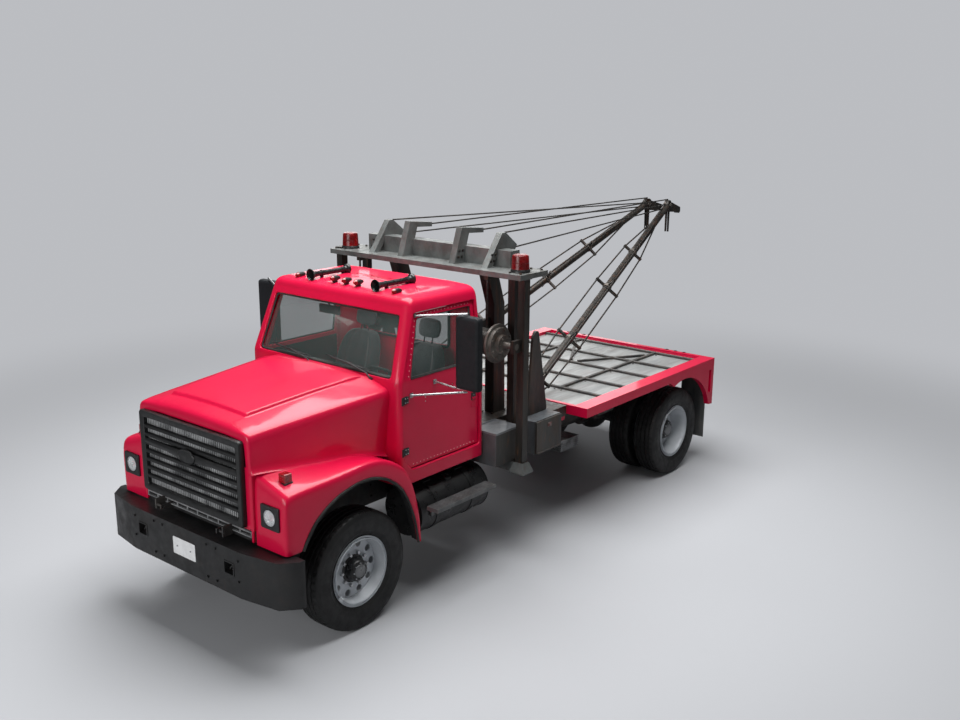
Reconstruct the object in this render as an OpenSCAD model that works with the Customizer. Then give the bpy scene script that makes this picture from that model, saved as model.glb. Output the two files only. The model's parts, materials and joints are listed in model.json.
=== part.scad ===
// Tow truck with twin swinging booms on a flat deck.
// Frame: +X forward, +Y to the truck's left, +Z up, floor at z = 0, millimetres.
// The modules below are drawn from the front axle; from_axle() moves them so that the
// origin lies under the middle of the whole truck.

/* [Overall] */
// Front axle to rear axle
wheelbase = 4990; // [4400:10:6200]
// Front axle to the front face of the bumper
front_overhang = 1000; // [960:5:1200]
// Width of the deck over its side rails
bed_w = 2544; // [2300:2:2600]
// Length of the deck
bed_len = 2752; // [2400:4:3400]
// Width of the cab at the window sill
cab_w = 1900; // [1700:10:2100]
// Cab length, from the windscreen foot to the back wall
cab_len = 1085; // [950:5:1300]

/* [Wheels] */
// Outer radius of a tyre
tyre_r = 520; // [480:2:560]
// Width of a tyre
tyre_w = 275; // [230:5:300]
// Radius of the rim flange
rim_r = 306; // [270:2:320]
// Width of a rim over its flanges
rim_w = 235; // [200:5:250]
// Middle of a front tyre from the centre line
front_track_y = 902; // [860:2:960]
// Middle of an outer rear tyre from the centre line
rear_track_y = 1043; // [1000:1:1060]
// Spacing of the twin tyres
twin_pitch = 343; // [300:1:360]
// Hand holes in each wheel disc
hand_holes = 10; // [4:1:12]

/* [Chassis] */
// Outer width of the ladder frame
frame_w = 860; // [780:10:900]
// Height of a frame rail
rail_h = 250; // [180:5:280]
// Top of the frame rails above the floor
rail_top = 1000; // [950:5:1040]
// Wall of a frame rail
rail_t = 8; // [6:1:12]
// Flange of a frame rail
rail_flange = 80; // [60:5:100]
// Kingpin from the centre line
kingpin_y = 745; // [700:5:770]
// Kingpin radius
kingpin_r = 20; // [14:1:26]
// Wheel spindle radius
spindle_r = 32; // [24:1:40]

/* [Front end] */
// Half width of the bumper
bumper_half = 1209; // [1100:1:1260]
// Height of the bumper
bumper_h = 390; // [300:5:450]
// Bottom of the bumper above the floor
bumper_z = 563; // [520:1:620]
// Half width of the hood at its nose
nose_half = 726; // [650:2:780]
// Height of the hood's front edge
nose_top = 1861; // [1780:1:1900]
// Outer face of the fenders from the centre line
fender_y = 1100; // [1060:2:1140]
// Half width of the grille
grille_half = 668; // [600:2:700]
// Number of grille bars
grille_bars = 7; // [3:1:12]

/* [Cab] */
// Bottom of the cab
cab_z = 1090; // [1060:5:1140]
// Window sill height
sill_z = 2015; // [1950:5:2060]
// Roof edge height
roof_z = 2610; // [2540:5:2680]
// Wall of the cab shell
cab_wall = 40; // [25:5:60]
// Thickness of the windscreen frame and firewall
pillar_t = 20; // [12:1:24]
// Thickness of a door
door_t = 50; // [40:5:70]
// Gap around a door
door_gap = 11; // [8:1:16]
// Lean of the side glass
tumble = 7.6; // [0:0.2:10]

/* [Wrecker gear] */
// Length of a boom from its foot to the head sheave
boom_len = 4190; // [3600:10:4800]
// Rise of the boom
boom_rise = 23.3; // [15:0.1:35]
// Toe-in of the booms towards the centre line
boom_toe = 8.8; // [7:0.1:9.5]
// Boom foot from the centre line
boom_foot_y = 740; // [700:5:780]
// Radius of the boom's main tube
boom_r = 42; // [30:1:55]
// Top of the gantry plate
gantry_top = 2800; // [2600:5:2900]
// Half width of the gantry plate
gantry_half = 1248; // [1220:1:1270]
// Side of the square gantry posts
post_w = 80; // [60:5:140]
post_foot_w = 164;
post_foot_z = 885;
// Radius of the winch drum flange
drum_flange_r = 185; // [150:1:190]
// Radius of the winch shaft
winch_shaft_r = 30; // [20:1:40]

/* [Hidden] */
run = 0.06;              // radial clearance of a shaft in its bore
near = 0.3;              // clearance between pieces on different bodies

boom_foot = [-2560, boom_foot_y, 1340];
head_tail = 352;         // from the head sheave back to the middle of the tail roller
tail_r = 42;
tail_half = 30;
// front axle to the rear end of the boom tips
boom_tip = -boom_foot[0] + (boom_len * cos(boom_rise) + head_tail + tail_r) * cos(boom_toe)
    + tail_half * sin(boom_toe);
front_axle_x = (boom_tip - front_overhang) / 2;

deck_z = 1293;           // top of the deck rails
deck_rail = 100;         // depth of the deck rails
deck_rail_w = 165;       // width of the deck rails seen from above
bed_front = -2949;       // front edge of the deck
bed_rear = bed_front - bed_len;

cab_front = -560;        // foot of the windscreen pillars
cab_rear = cab_front - cab_len;
rake_x = -770;           // top of the windscreen
hinge_x = cab_front - 30; // door hinge line
hood_hinge = [930, 1020]; // x and z of the hood's hinge

frame_y = frame_w / 2;
rail_z = rail_top - rail_h;
spring_y = frame_y - 5;  // middle of the leaf springs
spring_w = 75;

tower_x = -2290;         // middle of the tower legs
post_x = -1950;          // middle of the gantry posts
post_y = 1200;
winch_x = -1850;
winch_z = 2130;
base_top = 1300;         // top of the wrecker's base

$fn = 48;

// ---------- helpers ----------

module from_axle() translate([front_axle_x, 0, 0]) children();

// draws its children for the left side, or mirrored for the right
module on_side(side) {
    if (side == "left") children();
    else mirror([0, 1, 0]) children();
}

module both_sides() {
    children();
    mirror([0, 1, 0]) children();
}

// a box from one corner to the other
module box(a, b) translate(a) cube(b - a);

// an outline in x and z, from y0 to y1
module slab_y(y0, y1) translate([0, y1, 0]) rotate([90, 0, 0]) linear_extrude(y1 - y0) children();

// an outline in y and z, from x0 to x1
module slab_x(x0, x1) translate([x0, 0, 0]) rotate([90, 0, 90]) linear_extrude(x1 - x0) children();

// a round bar along Y
module bar_y(x, z, r, y0, y1) translate([x, y1, z]) rotate([90, 0, 0]) cylinder(r = r, h = y1 - y0);

// a round bar between two points
module bar(a, b, r) {
    d = b - a;
    translate(a)
        rotate([0, acos(d[2] / norm(d)), atan2(d[1], d[0])])
            cylinder(r = r, h = norm(d));
}

function leaning(y, z) = y - max(0, z - sill_z) * tan(tumble);

// inner face of the cab's sides at a height, less the gap between pieces
function cab_in(z) = leaning(cab_w / 2, z) - door_t / cos(tumble) - near;

// ---------- chassis ----------

module channel_outline() {
    difference() {
        translate([frame_y - rail_flange, rail_z]) square([rail_flange, rail_h]);
        translate([frame_y - rail_flange - 1, rail_z + rail_t])
            square([rail_flange - rail_t + 1, rail_h - 2 * rail_t]);
    }
}

rail_front = front_overhang - 245;
rail_rear = bed_rear + 60;
rail_in = frame_y - rail_flange;
hinge_arm = [rail_in + 20, rail_in + 35];   // inner and outer faces of the hood's hinge arms
hood_pin_r = 12;

module chassis_frame() color("#26282b") {
    both_sides() slab_x(rail_rear, rail_front) channel_outline();
    // cross members: [x, height]
    for (m = [[rail_front - 40, 150], [-1000, 150], [-1800, 180], [-3100, 180], [-4300, 180], [rail_rear + 40, 220]])
        box([m[0] - 35, -frame_y + rail_t, rail_z + rail_t], [m[0] + 35, frame_y - rail_t, rail_z + m[1]]);
    // arms forward to the hood's hinge
    both_sides() difference() {
        slab_y(hinge_arm[0], hinge_arm[1])
            polygon([[rail_front - 30, rail_top - 1], [rail_front, rail_top - 30],
                     [hood_hinge[0] + 20, hood_hinge[1] - 20], [hood_hinge[0] + 20, hood_hinge[1] + 20],
                     [rail_front - 30, rail_top + 30]]);
        bar_y(hood_hinge[0], hood_hinge[1], hood_pin_r + run, hinge_arm[0] - 1, hinge_arm[1] + 1);
    }
    // engine mounts
    for (x = [-300, 400])
        both_sides() box([x - 30, 300 + near, 800], [x + 30, frame_y - rail_t + 1, 850]);
    // cab rests
    for (x = [-700, cab_rear + 80])
        both_sides() box([x - 50, rail_in, rail_top - 1], [x + 50, frame_y, cab_z]);
    // sills that carry the deck and the wrecker base
    for (x = [-2050, -2400, bed_front - 250, bed_front - 1000, bed_front - 1700, bed_rear + 150])
        both_sides() box([x - 40, rail_in, rail_top - 1], [x + 40, frame_y, deck_z - deck_rail]);
}

module bumper_outline(inset) {
    // seen from above: a flat face with swept-back ends, open at the back
    x0 = front_overhang;
    back = x0 - 240 - (inset > 0 ? 1 : 0);
    polygon([[x0 - inset, -nose_half], [x0 - inset, nose_half],
             [x0 - 60 - inset, bumper_half - 110], [x0 - 190, bumper_half - inset],
             [back, bumper_half - inset], [back, -bumper_half + inset],
             [x0 - 190, -bumper_half + inset], [x0 - 60 - inset, -bumper_half + 110]]);
}

module front_bumper() color("#1b1c1e") {
    wall = 12;
    difference() {
        translate([0, 0, bumper_z]) linear_extrude(bumper_h) bumper_outline(0);
        translate([0, 0, bumper_z + wall]) linear_extrude(bumper_h - 2 * wall) bumper_outline(wall);
        // square towing holes
        both_sides() box([front_overhang - 60, 530, 735], [front_overhang + 20, 640, 830]);
        // the number plate's two bolt holes
        both_sides() translate([front_overhang - 80, 90, 770]) rotate([0, 90, 0]) cylinder(r = 4, h = 100);
    }
    // brackets to the frame rails
    both_sides() box([rail_front + near, frame_y - 40, rail_z + 10],
                     [front_overhang - wall + 1, frame_y, bumper_z + bumper_h - wall - 10]);
}

module radiator() color("#6f7478") {
    box([640, -580, rail_top], [720, 580, 1780]);
}

module engine() color("#3a3c3e") {
    box([-440, -300, rail_z - 90], [560, 300, 1640]);
}

module front_axle() color("#2b2d2f") {
    beam_z = tyre_r - 60;
    // the beam, with its ends up at the kingpins
    slab_x(-45, 45) polygon([[-kingpin_y + 95, beam_z + 55], [-kingpin_y + 95, beam_z - 35], [-560, beam_z - 80],
        [560, beam_z - 80], [kingpin_y - 95, beam_z - 35], [kingpin_y - 95, beam_z + 55],
        [560, beam_z + 15], [-560, beam_z + 15]]);
    both_sides() difference() {
        union() {
            box([-45, kingpin_y - 140, tyre_r - 75], [45, kingpin_y - 40, tyre_r + 15]);
            translate([0, kingpin_y, tyre_r - 75]) cylinder(r = 50, h = 90);
        }
        translate([0, kingpin_y, tyre_r - 80]) cylinder(r = kingpin_r + run, h = 100);
    }
}

module knuckle(side) color("#2b2d2f") on_side(side) {
    // fork around the axle's end, spindle outwards, steering arm to the rear
    gap = 5.5;
    top = tyre_r + 15 + gap;
    bottom = tyre_r - 75 - gap;
    translate([0, kingpin_y, bottom - 32]) cylinder(r = kingpin_r, h = top - bottom + 64);
    translate([0, kingpin_y, top]) cylinder(r = 46, h = 34);
    translate([0, kingpin_y, bottom - 34]) cylinder(r = 46, h = 34);
    box([-38, kingpin_y + 58, bottom - 34], [38, kingpin_y + 90, top + 34]);
    box([-30, kingpin_y + 20, top], [30, kingpin_y + 60, top + 34]);
    box([-30, kingpin_y + 20, bottom - 34], [30, kingpin_y + 60, bottom]);
    bar_y(0, tyre_r, spindle_r, kingpin_y + 80,
          front_track_y + front_disc + front_hub - hub_cap - end_play);
    // steering arm
    box([-arm_back - 22, kingpin_y - 30, bottom - 34], [-30, kingpin_y + 10, bottom - 10]);
}
arm_back = 210;
tie_z = tyre_r - 75 - 5.5 - 34;

module tie_rod() color("#2b2d2f") {
    eye = kingpin_y - 10;
    bar_y(-arm_back, tie_z - 30, 17, -eye + 20, eye - 20);
    both_sides() translate([-arm_back, eye, tie_z - 50]) cylinder(r = 24, h = 50 - near);
}

axle_r = 62;

module rear_axle() color("#2b2d2f") translate([-wheelbase, 0, 0]) {
    bar_y(0, tyre_r, axle_r, -rear_axle_end, rear_axle_end);
    translate([0, 0, tyre_r]) sphere(r = 195);
    translate([0, 0, tyre_r]) rotate([0, 90, 0]) cylinder(r = 90, h = 300);
    both_sides() bar_y(0, tyre_r, spindle_r + 8, rear_axle_end - 1,
                       rear_track_y + rear_disc + rear_hub - hub_cap - end_play);
}
rear_axle_end = rear_track_y - twin_pitch - tyre_w / 2 + 40;

module leaf_springs() color("#232427") {
    // packs of leaves: [x of the axle, half length, underside above the floor, leaves]
    for (s = [[0, 560, tyre_r + 16, 5], [-wheelbase, 640, tyre_r + axle_r + near, 7]])
        both_sides() {
            for (n = [0 : s[3] - 1])
                box([s[0] - s[1] * (1 - n / (s[3] + 2)), spring_y - spring_w / 2, s[2] + 16 * (s[3] - 1 - n)],
                    [s[0] + s[1] * (1 - n / (s[3] + 2)), spring_y + spring_w / 2, s[2] + 16 * (s[3] - n)]);
            for (end = [-1, 1])
                box([s[0] + end * (s[1] - 30) - 30, spring_y - spring_w / 2, s[2] + 16 * s[3] - 1],
                    [s[0] + end * (s[1] - 30) + 30, spring_y + spring_w / 2, rail_z]);
        }
    // seats on the front beam
    both_sides() box([-40, spring_y - spring_w / 2, tyre_r - 45], [40, spring_y + spring_w / 2, tyre_r + 17]);
}

module driveshaft() color("#303234") {
    // gearbox behind the engine, then one long tube to the axle's nose
    box([-900, -150, 640], [-440, 150, 960]);
    bar([-899, 0, 700], [-wheelbase + 304, 0, tyre_r], 50);
}

tank_y = 800;
tank_z = 760;
tank_r = 225;

module fuel_tanks() color("#17181a") {
    x0 = cab_rear - 30;
    x1 = cab_front - 190;
    both_sides() {
        translate([x0, tank_y, tank_z]) rotate([0, 90, 0]) cylinder(r = tank_r, h = x1 - x0);
        // straps and their brackets on the rail
        for (x = [x0 + 220, x1 - 220]) {
            translate([x - 25, tank_y, tank_z]) rotate([0, 90, 0]) cylinder(r = tank_r + 6, h = 50);
            box([x - 25, frame_y, tank_z + 10], [x + 25, tank_y - tank_r + 60, tank_z + 70]);
        }
    }
}

module tank_steps() color("#55595c") {
    x0 = cab_rear + 85;
    x1 = cab_front - 190;
    both_sides() {
        box([x0, 1080, 845], [x1, 1210, 880]);
        for (x = [x0 + 180, x1 - 120]) {
            box([x - 20, tank_y + tank_r + near, tank_z - 15], [x + 20, tank_y + tank_r + 20, 846]);
            box([x - 20, tank_y + tank_r + near, 826], [x + 20, 1100, 846]);
        }
    }
}

// ---------- wheels ----------

front_disc = 20;         // outer face of a front wheel's disc from the tyre's middle
front_hub = 90;          // hub ahead of that disc
rear_disc = -70;
rear_hub = 110;
hub_cap = 20;            // closed end of a hub
end_play = 6;            // spindle end to the inside of the cap

module rim_profile() {
    // outer skin of the rim, seen in section: x is the radius, y runs outwards
    h = rim_w / 2;
    polygon([[rim_r - 34, -h], [rim_r, -h], [rim_r, -h + 12], [rim_r - 22, -h + 16],
             [rim_r - 22, h - 16], [rim_r, h - 12], [rim_r, h], [rim_r - 34, h],
             [rim_r - 38, h - 30], [rim_r - 38, -h + 30]]);
}

module rim(disc_y, hub_out, hub_r, bore_r) {
    // one wheel about its own centre, axis along Y, outer face towards +Y
    rotate([-90, 0, 0]) {
        rotate_extrude($fn = 64) rim_profile();
        difference() {
            union() {
                translate([0, 0, disc_y - 14]) cylinder(r = rim_r - 37, h = 14);
                translate([0, 0, disc_y - 60]) cylinder(r = hub_r, h = 60 + hub_out);
            }
            translate([0, 0, disc_y - 200]) cylinder(r = bore_r + run, h = 200 + hub_out - hub_cap);
            for (n = [0 : hand_holes - 1])
                rotate(n * 360 / hand_holes)
                    translate([rim_r - 92, 0, disc_y - 20]) cylinder(r = 30, h = 30, $fn = 32);
        }
    }
}

module tyre() {
    // section of a tyre: x is the radius
    h = tyre_w / 2;
    rotate([-90, 0, 0]) rotate_extrude($fn = 64)
        polygon([[rim_r - 21.7, -rim_w / 2 + 18], [rim_r + 0.3, -rim_w / 2 + 12.6], [rim_r + 60, -h + 10],
                 [rim_r + 110, -h], [tyre_r - 50, -h + 6], [tyre_r - 18, -h + 22], [tyre_r, -h + 48],
                 [tyre_r, h - 48], [tyre_r - 18, h - 22], [tyre_r - 50, h - 6], [rim_r + 110, h],
                 [rim_r + 60, h - 10], [rim_r + 0.3, rim_w / 2 - 12.6], [rim_r - 21.7, rim_w / 2 - 18]]);
}

module front_rim(side) color("#b9bdc1") on_side(side)
    translate([0, front_track_y, tyre_r]) rim(front_disc, front_hub, 95, spindle_r);

module front_tyre(side) color("#151515") on_side(side)
    translate([0, front_track_y, tyre_r]) tyre();

module rear_rims(side) color("#b9bdc1") on_side(side) translate([-wheelbase, rear_track_y, tyre_r]) {
    difference() {
        union() {
            rim(rear_disc, rear_hub, 110, spindle_r + 8);
            translate([0, -twin_pitch, 0]) mirror([0, 1, 0]) rim(-86, 10, 110, spindle_r + 8);
            translate([0, -twin_pitch, 0]) bar_y(0, 0, 110, 60, twin_pitch - 80);
        }
        translate([0, -twin_pitch, 0]) bar_y(0, 0, spindle_r + 8 + run, -60, twin_pitch - 40);
        translate([0, -twin_pitch, 0]) bar_y(0, 0, 64, -200, 20);
    }
}

module rear_tyres(side) color("#151515") on_side(side) translate([-wheelbase, rear_track_y, tyre_r]) {
    tyre();
    translate([0, -twin_pitch, 0]) tyre();
}

// ---------- deck ----------

module bed_frame() color("#8f0018") {
    half = bed_w / 2;
    difference() {
        box([bed_rear, -half, deck_z - deck_rail], [bed_front, half, deck_z]);
        box([bed_rear + 60, -half + deck_rail_w, deck_z - deck_rail - 1],
            [bed_front - 40, half - deck_rail_w, deck_z + 1]);
    }
    // stringers under the deck
    for (y = [-frame_y + 40, frame_y - 40])
        box([bed_rear + 59, y - 40, deck_z - deck_rail], [bed_front - 39, y + 40, deck_z - 60]);
    both_sides() {
        // rear corner panel with its lamp slot, sweeping round behind the wheels
        difference() {
            slab_y(half - 60, half) difference() {
                polygon([[bed_rear, deck_z - 50], [bed_rear, 720], [bed_rear + 250, 740],
                         [-wheelbase + 350, 1194], [-wheelbase + 350, deck_z - 50]]);
                translate([-wheelbase, tyre_r]) circle(r = tyre_r + 140, $fn = 96);
            }
            box([bed_rear + 60, half - 30, 880], [bed_rear + 120, half + 1, 1160]);
        }
        // rear posts
        box([bed_rear, half - 170, 720], [bed_rear + 50, half - 59, deck_z - deck_rail + 1]);
        // deep front sill
        box([bed_front - 60, frame_y + 60, deck_z - deck_rail - 90], [bed_front, 960, deck_z - deck_rail + 1]);
    }
}

module deck() color("#8b9094") {
    inner = bed_w / 2 - deck_rail_w;
    box([bed_rear + 60, -inner, deck_z - 60], [bed_front - 40, inner, deck_z - 40]);
    // raised bars across the deck
    for (x = [-3500, -3970, -4490, -4980, -5520])
        box([x - 20, -inner, deck_z - 41], [x + 20, inner, deck_z - 15]);
    // raised bars along the deck
    for (y = [-555, 555])
        box([-5520, y - 18, deck_z - 41], [-3500, y + 18, deck_z - 15]);
}

module mud_flaps() color("#606468") both_sides()
    box([bed_rear + 55, 880, 290], [bed_rear + 63, 1210, deck_z - deck_rail]);

// ---------- wrecker gear ----------

module tapered_plate(points, y, t) slab_y(y - t / 2, y + t / 2) polygon(points);

module gantry() color("#4a4d50") {
    x0 = -2250;
    x1 = -1830;
    top = gantry_top;
    box([x0, -gantry_half, top - 48], [x1, gantry_half, top]);
    box([-2225, -934, top - 1], [-2085, 934, top + 160]);
    both_sides() {
        // outer brackets hold the topping lines
        tapered_plate([[-1930, top - 1], [-2160, top + 310], [-2215, top + 310], [-2390, top + 180],
                       [-2360, top + 130], [-2232, top + 159], [-2084, top + 100], [-2010, top - 1]],
                      boom_foot_y, 70);
        // inner brackets guide the load lines
        tapered_plate([[-1930, top - 1], [-2045, top + 340], [-2370, top + 305], [-2370, top + 260],
                       [-2150, top + 275], [-2100, top + 120], [-2084, top - 1]], 340, 70);
    }
}

module mast_posts() color("#2c2a28") both_sides() {
    h = post_w / 2;
    box([post_x - h, post_y - h, 990], [post_x + h, post_y + h, gantry_top - 48]);
    // flared foot
    hull() {
        box([post_x - h - 10, post_y - h - 10, 970], [post_x + h + 10, post_y + h + 10, 991]);
        box([post_x - post_foot_w / 2, post_y - post_foot_w / 2, post_foot_z],
            [post_x + post_foot_w / 2, post_y + post_foot_w / 2, post_foot_z + 15]);
    }
    // outrigger from the frame rail, below the toolbox
    box([post_x - 45, frame_y, 885], [post_x + 45, post_y - h + 1, box_z[0] - 5]);
    // winch bearing on the front face
    difference() {
        box([post_x + h - 1, post_y - h + 5, winch_z - 60], [winch_x + 48, post_y - h + 45, winch_z + 60]);
        bar_y(winch_x, winch_z, winch_shaft_r + run, post_y - h, post_y + h);
    }
}

module winch_tower() color("#34302c") {
    // base plate over the frame
    box([-2900, -780, deck_z - deck_rail], [-1750, 780, base_top]);
    both_sides() {
        box([-2900, 779, deck_z - deck_rail], [-2625, 1050, base_top]);
        // legs up to the gantry, set back a little at the foot
        tapered_plate([[tower_x - 90, base_top - 1], [tower_x - 70, 2100], [tower_x - 70, 2400],
                       [-2240, gantry_top - 48], [-2080, gantry_top - 48], [tower_x + 90, 2400],
                       [tower_x + 90, base_top - 1]], 600, 110);
        // inner channel beside the post
        box([-2120, 930, base_top - 111], [-2060, 1010, gantry_top - 48]);
        box([-2120, 779, base_top - 110], [-2060, 1010, base_top - 10]);
        // winch bearing plate
        difference() {
            tapered_plate([[tower_x + 60, 1980], [tower_x + 60, 2280], [winch_x, winch_z + 75],
                           [winch_x + 60, winch_z], [winch_x, winch_z - 75]], 590, 30);
            bar_y(winch_x, winch_z, winch_shaft_r + run, 500, 700);
        }
        // boom foot socket
        on_swing_axis() translate([0, 0, -foot_down - near - 30]) cylinder(r = 60, h = 30);
    }
}

module side_plates() color("#1d1e1f") both_sides() slab_y(985, 1015)
    polygon([[-2290, 1320], [-2360, 2130], [-2440, 2160], [-2610, 1320]]);

beacon_r = 84; // lens radius
module beacons() color("#b01018") both_sides()
    translate([-1998, 1118, gantry_top]) {
        cylinder(r = beacon_r + 8, h = 22);
        translate([0, 0, 21]) cylinder(r1 = beacon_r, r2 = beacon_r * 0.92, h = 140);
    }

// toolboxes: [x of the rear wall, x of the front wall, y of the outer wall]
box_front = [-2030, cab_rear - 20, 1120];
box_rear = [-2610, -2190, 1200];
box_z = [990, 1320];
box_in = 830;
box_wall = 6;
lid_t = 20;

module toolboxes() color("#4d545b") {
    both_sides() {
        // front box, open at the top under its lid
        difference() {
            box([box_front[0], box_in, box_z[0]], [box_front[1], box_front[2], box_z[1] - lid_t - near]);
            box([box_front[0] + box_wall, box_in + box_wall, box_z[0] + box_wall],
                [box_front[1] - box_wall, box_front[2] - box_wall, box_z[1]]);
        }
        // rear box, open at the side behind its door
        difference() {
            box([box_rear[0], box_in, box_z[0]], [box_rear[1], box_rear[2] - lid_t - near, box_z[1]]);
            box([box_rear[0] + box_wall, box_in + box_wall, box_z[0] + box_wall],
                [box_rear[1] - box_wall, box_rear[2], box_z[1] - box_wall]);
        }
        // hangers from the frame
        for (x = [-1720, -2450])
            box([x - 30, frame_y, box_z[0] + 10], [x + 30, box_in + 1, box_z[0] + 70]);
    }
    // tall cabinet behind the cab
    box([-2060, -500, base_top], [-1720, 500, 1780]);
}

box_barrel_r = 9;        // hinge barrels of the toolbox lids and doors

module toolbox_lid(side) color("#7d868d") on_side(side) {
    box([box_front[0], box_in, box_z[1] - lid_t], [box_front[1], box_front[2], box_z[1]]);
    translate([box_front[0] + 20, box_in, box_z[1]]) rotate([0, 90, 0])
        cylinder(r = box_barrel_r, h = box_front[1] - box_front[0] - 40);
}

module toolbox_door(side) color("#2a2c2e") on_side(side) {
    lip = 6;
    box([box_rear[0] + lip, box_rear[2] - lid_t, box_z[0] + lip], [box_rear[1] - lip, box_rear[2], box_z[1] - lip]);
    translate([box_rear[0] + 20, box_rear[2], box_z[0] + lip]) rotate([0, 90, 0])
        cylinder(r = box_barrel_r, h = box_rear[1] - box_rear[0] - 40);
}

sheave_r = 62;
fork_half = 22;          // outer faces of the load fork's two plates
fork_pin = [-6, -305];   // x and z of the pin hole from the sheave
fork_pin_r = 12.5;
swing_tilt = 9;          // the swing axis leans forward to meet the topping lines' anchor
foot_down = 28;          // bottom of the boom foot below the boom's axis

module on_swing_axis() translate(boom_foot) rotate([0, swing_tilt, 0]) children();

module boom(side) color("#3d3a36") on_side(side) {
    on_swing_axis() translate([0, 0, -foot_down]) cylinder(r = 60, h = 80);
    translate(boom_foot) rotate([0, 0, boom_toe]) {
        // everything runs along -X of this frame, up the rise
        rotate([0, boom_rise, 0]) {
            rotate([0, -90, 0]) {
                translate([0, 0, 60]) cylinder(r = boom_r, h = boom_len - 60);
                // star spreaders with four truss rods: [distance along the boom, reach]
                for (s = [[420, 120], [1150, 150], [2200, 150], [2990, 120]])
                    translate([0, 0, s[0]]) for (q = [0, 90])
                        rotate(q + 45) translate([-s[1] - 16, -14, -12]) cube([2 * s[1] + 32, 28, 24]);
                for (q = [45 : 90 : 315]) rotate(q) {
                    bar([boom_r - 6, 0, 90], [120, 0, 420], 9);
                    bar([120, 0, 420], [150, 0, 1150], 9);
                    bar([150, 0, 1150], [150, 0, 2200], 9);
                    bar([150, 0, 2200], [120, 0, 2990], 9);
                    bar([120, 0, 2990], [boom_r - 6, 0, 3640], 9);
                }
            }
        }
        // foot fork
        rotate([0, boom_rise, 0]) box([-140, -45, -15], [-40, 45, 45]);
        // head with its sheave and tail
        head = [-boom_len * cos(boom_rise), boom_len * sin(boom_rise)];
        translate([head[0], 0, head[1]]) {
            bar_y(0, 0, sheave_r, -28, 28);
            slab_y(-34, 34) polygon([[60, -80], [-350, -120], [-380, -60], [-60, 30], [70, 20]]);
            bar_y(-head_tail, -92, tail_r, -tail_half, tail_half);
            // load fork
            difference() {
                for (y = [-fork_half, fork_half - 12]) slab_y(y, y + 12)
                    polygon([[20, -70], [-30, -70], [-24, -340], [12, -340]]);
                bar_y(fork_pin[0], fork_pin[1], fork_pin_r, -50, 50);
            }
        }
    }
}

module boom_lines(side) color("#2a2826") on_side(side) {
    head = boom_foot + [-boom_len * cos(boom_rise) * cos(boom_toe), -boom_len * cos(boom_rise) * sin(boom_toe),
                        boom_len * sin(boom_rise)];
    front = head + [60 * cos(boom_toe), 60 * sin(boom_toe), 0];
    wire = 8;
    // two topping lines from the outer bracket and the load line over the sheave
    bar([-2245, boom_foot_y, gantry_top + 305], front + [0, 0, 8], wire);
    bar([-2412, boom_foot_y, gantry_top + 150], front + [0, 0, -35], wire);
    bar([-2390, 340, gantry_top + 283], head + [0, 0, sheave_r + wire + near], wire);
}

module winch_drum(side) color("#3a342e") on_side(side) {
    bar_y(winch_x, winch_z, winch_shaft_r, 560, 1205);
    bar_y(winch_x, winch_z, 110, 660, 970);
    bar_y(winch_x, winch_z, 160, 640, 660);
    bar_y(winch_x, winch_z, drum_flange_r, 960, 985);
    bar_y(winch_x, winch_z, 155, 984, 1020);
    bar_y(winch_x, winch_z, 90, 1019, 1060);
}

// ---------- front end ----------

fender_in = 740;

module fender_outline() {
    // side view of a fender's outer skin
    polygon([[830, 965], [830, 1390], [770, 1455], [-60, 1490], [-210, 1470], [-330, 1420], [-480, 1310],
             [-580, 1130], [-650, 870], [-672, 590], [-630, 590], [-620, 700], [0, 520], [700, 700], [700, 965]]);
}

hood_rear = cab_front + 12;
hinge_reach = 33;         // the door hinges' barrels, and 8 mm of room
cab_clear = 1478;        // reach of the hood's rear edge from its hinge, inside the cab's width

module wheel_arch() {
    // round over the tyre in front, tightening towards the tail
    polygon([[760, 400], [735, 760], [677, 947], [620, 1062], [534, 1170], [435, 1245], [324, 1303], [200, 1341],
             [60, 1360], [-60, 1355], [-165, 1332], [-260, 1287], [-360, 1222], [-440, 1147], [-515, 1020],
             [-570, 868], [-610, 730], [-635, 593], [-640, 400]]);
}

module fenders() color("#a3001d") both_sides() difference() {
    slab_y(fender_in, fender_y) fender_outline();
    // wheel opening
    slab_y(fender_in - 1, fender_y + 1) wheel_arch();
    // hollow behind the outer flange
    difference() {
        slab_y(fender_in - 1, fender_y - 30) offset(delta = -28) fender_outline();
        slab_y(0, 2000) polygon([[900, 0], [900, 2000], [690, 2000], [690, 0]]);
    }
    // the inner part stays clear of the cab as the hood tilts
    slab_y(0, cab_w / 2 + hinge_reach) difference() {
        translate([-1500, 0]) square([2200, 2000]);
        translate(hood_hinge) circle(r = cab_clear, $fn = 96);
    }
    hood_outer(near);
}

module hood_section(x, half, z0, z1, crown, inset) {
    // a thin slice of the hood at x
    translate([x, 0, 0]) rotate([90, 0, 90]) linear_extrude(1)
        polygon([[-half + inset, z0], [-half + inset, z1 - inset], [-half * 0.72, z1 + crown - inset],
                 [half * 0.72, z1 + crown - inset], [half - inset, z1 - inset], [half - inset, z0]]);
}

module hood_outer(grow) hull() {
    hood_section(863, nose_half + grow, 1100, nose_top, 30, 0);
    hood_section(600, nose_half + 20 + grow, 1100, nose_top + 25, 70, 0);
    hood_section(hood_rear, 850 + grow, 1240, 1955, 80, 0);
}

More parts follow.
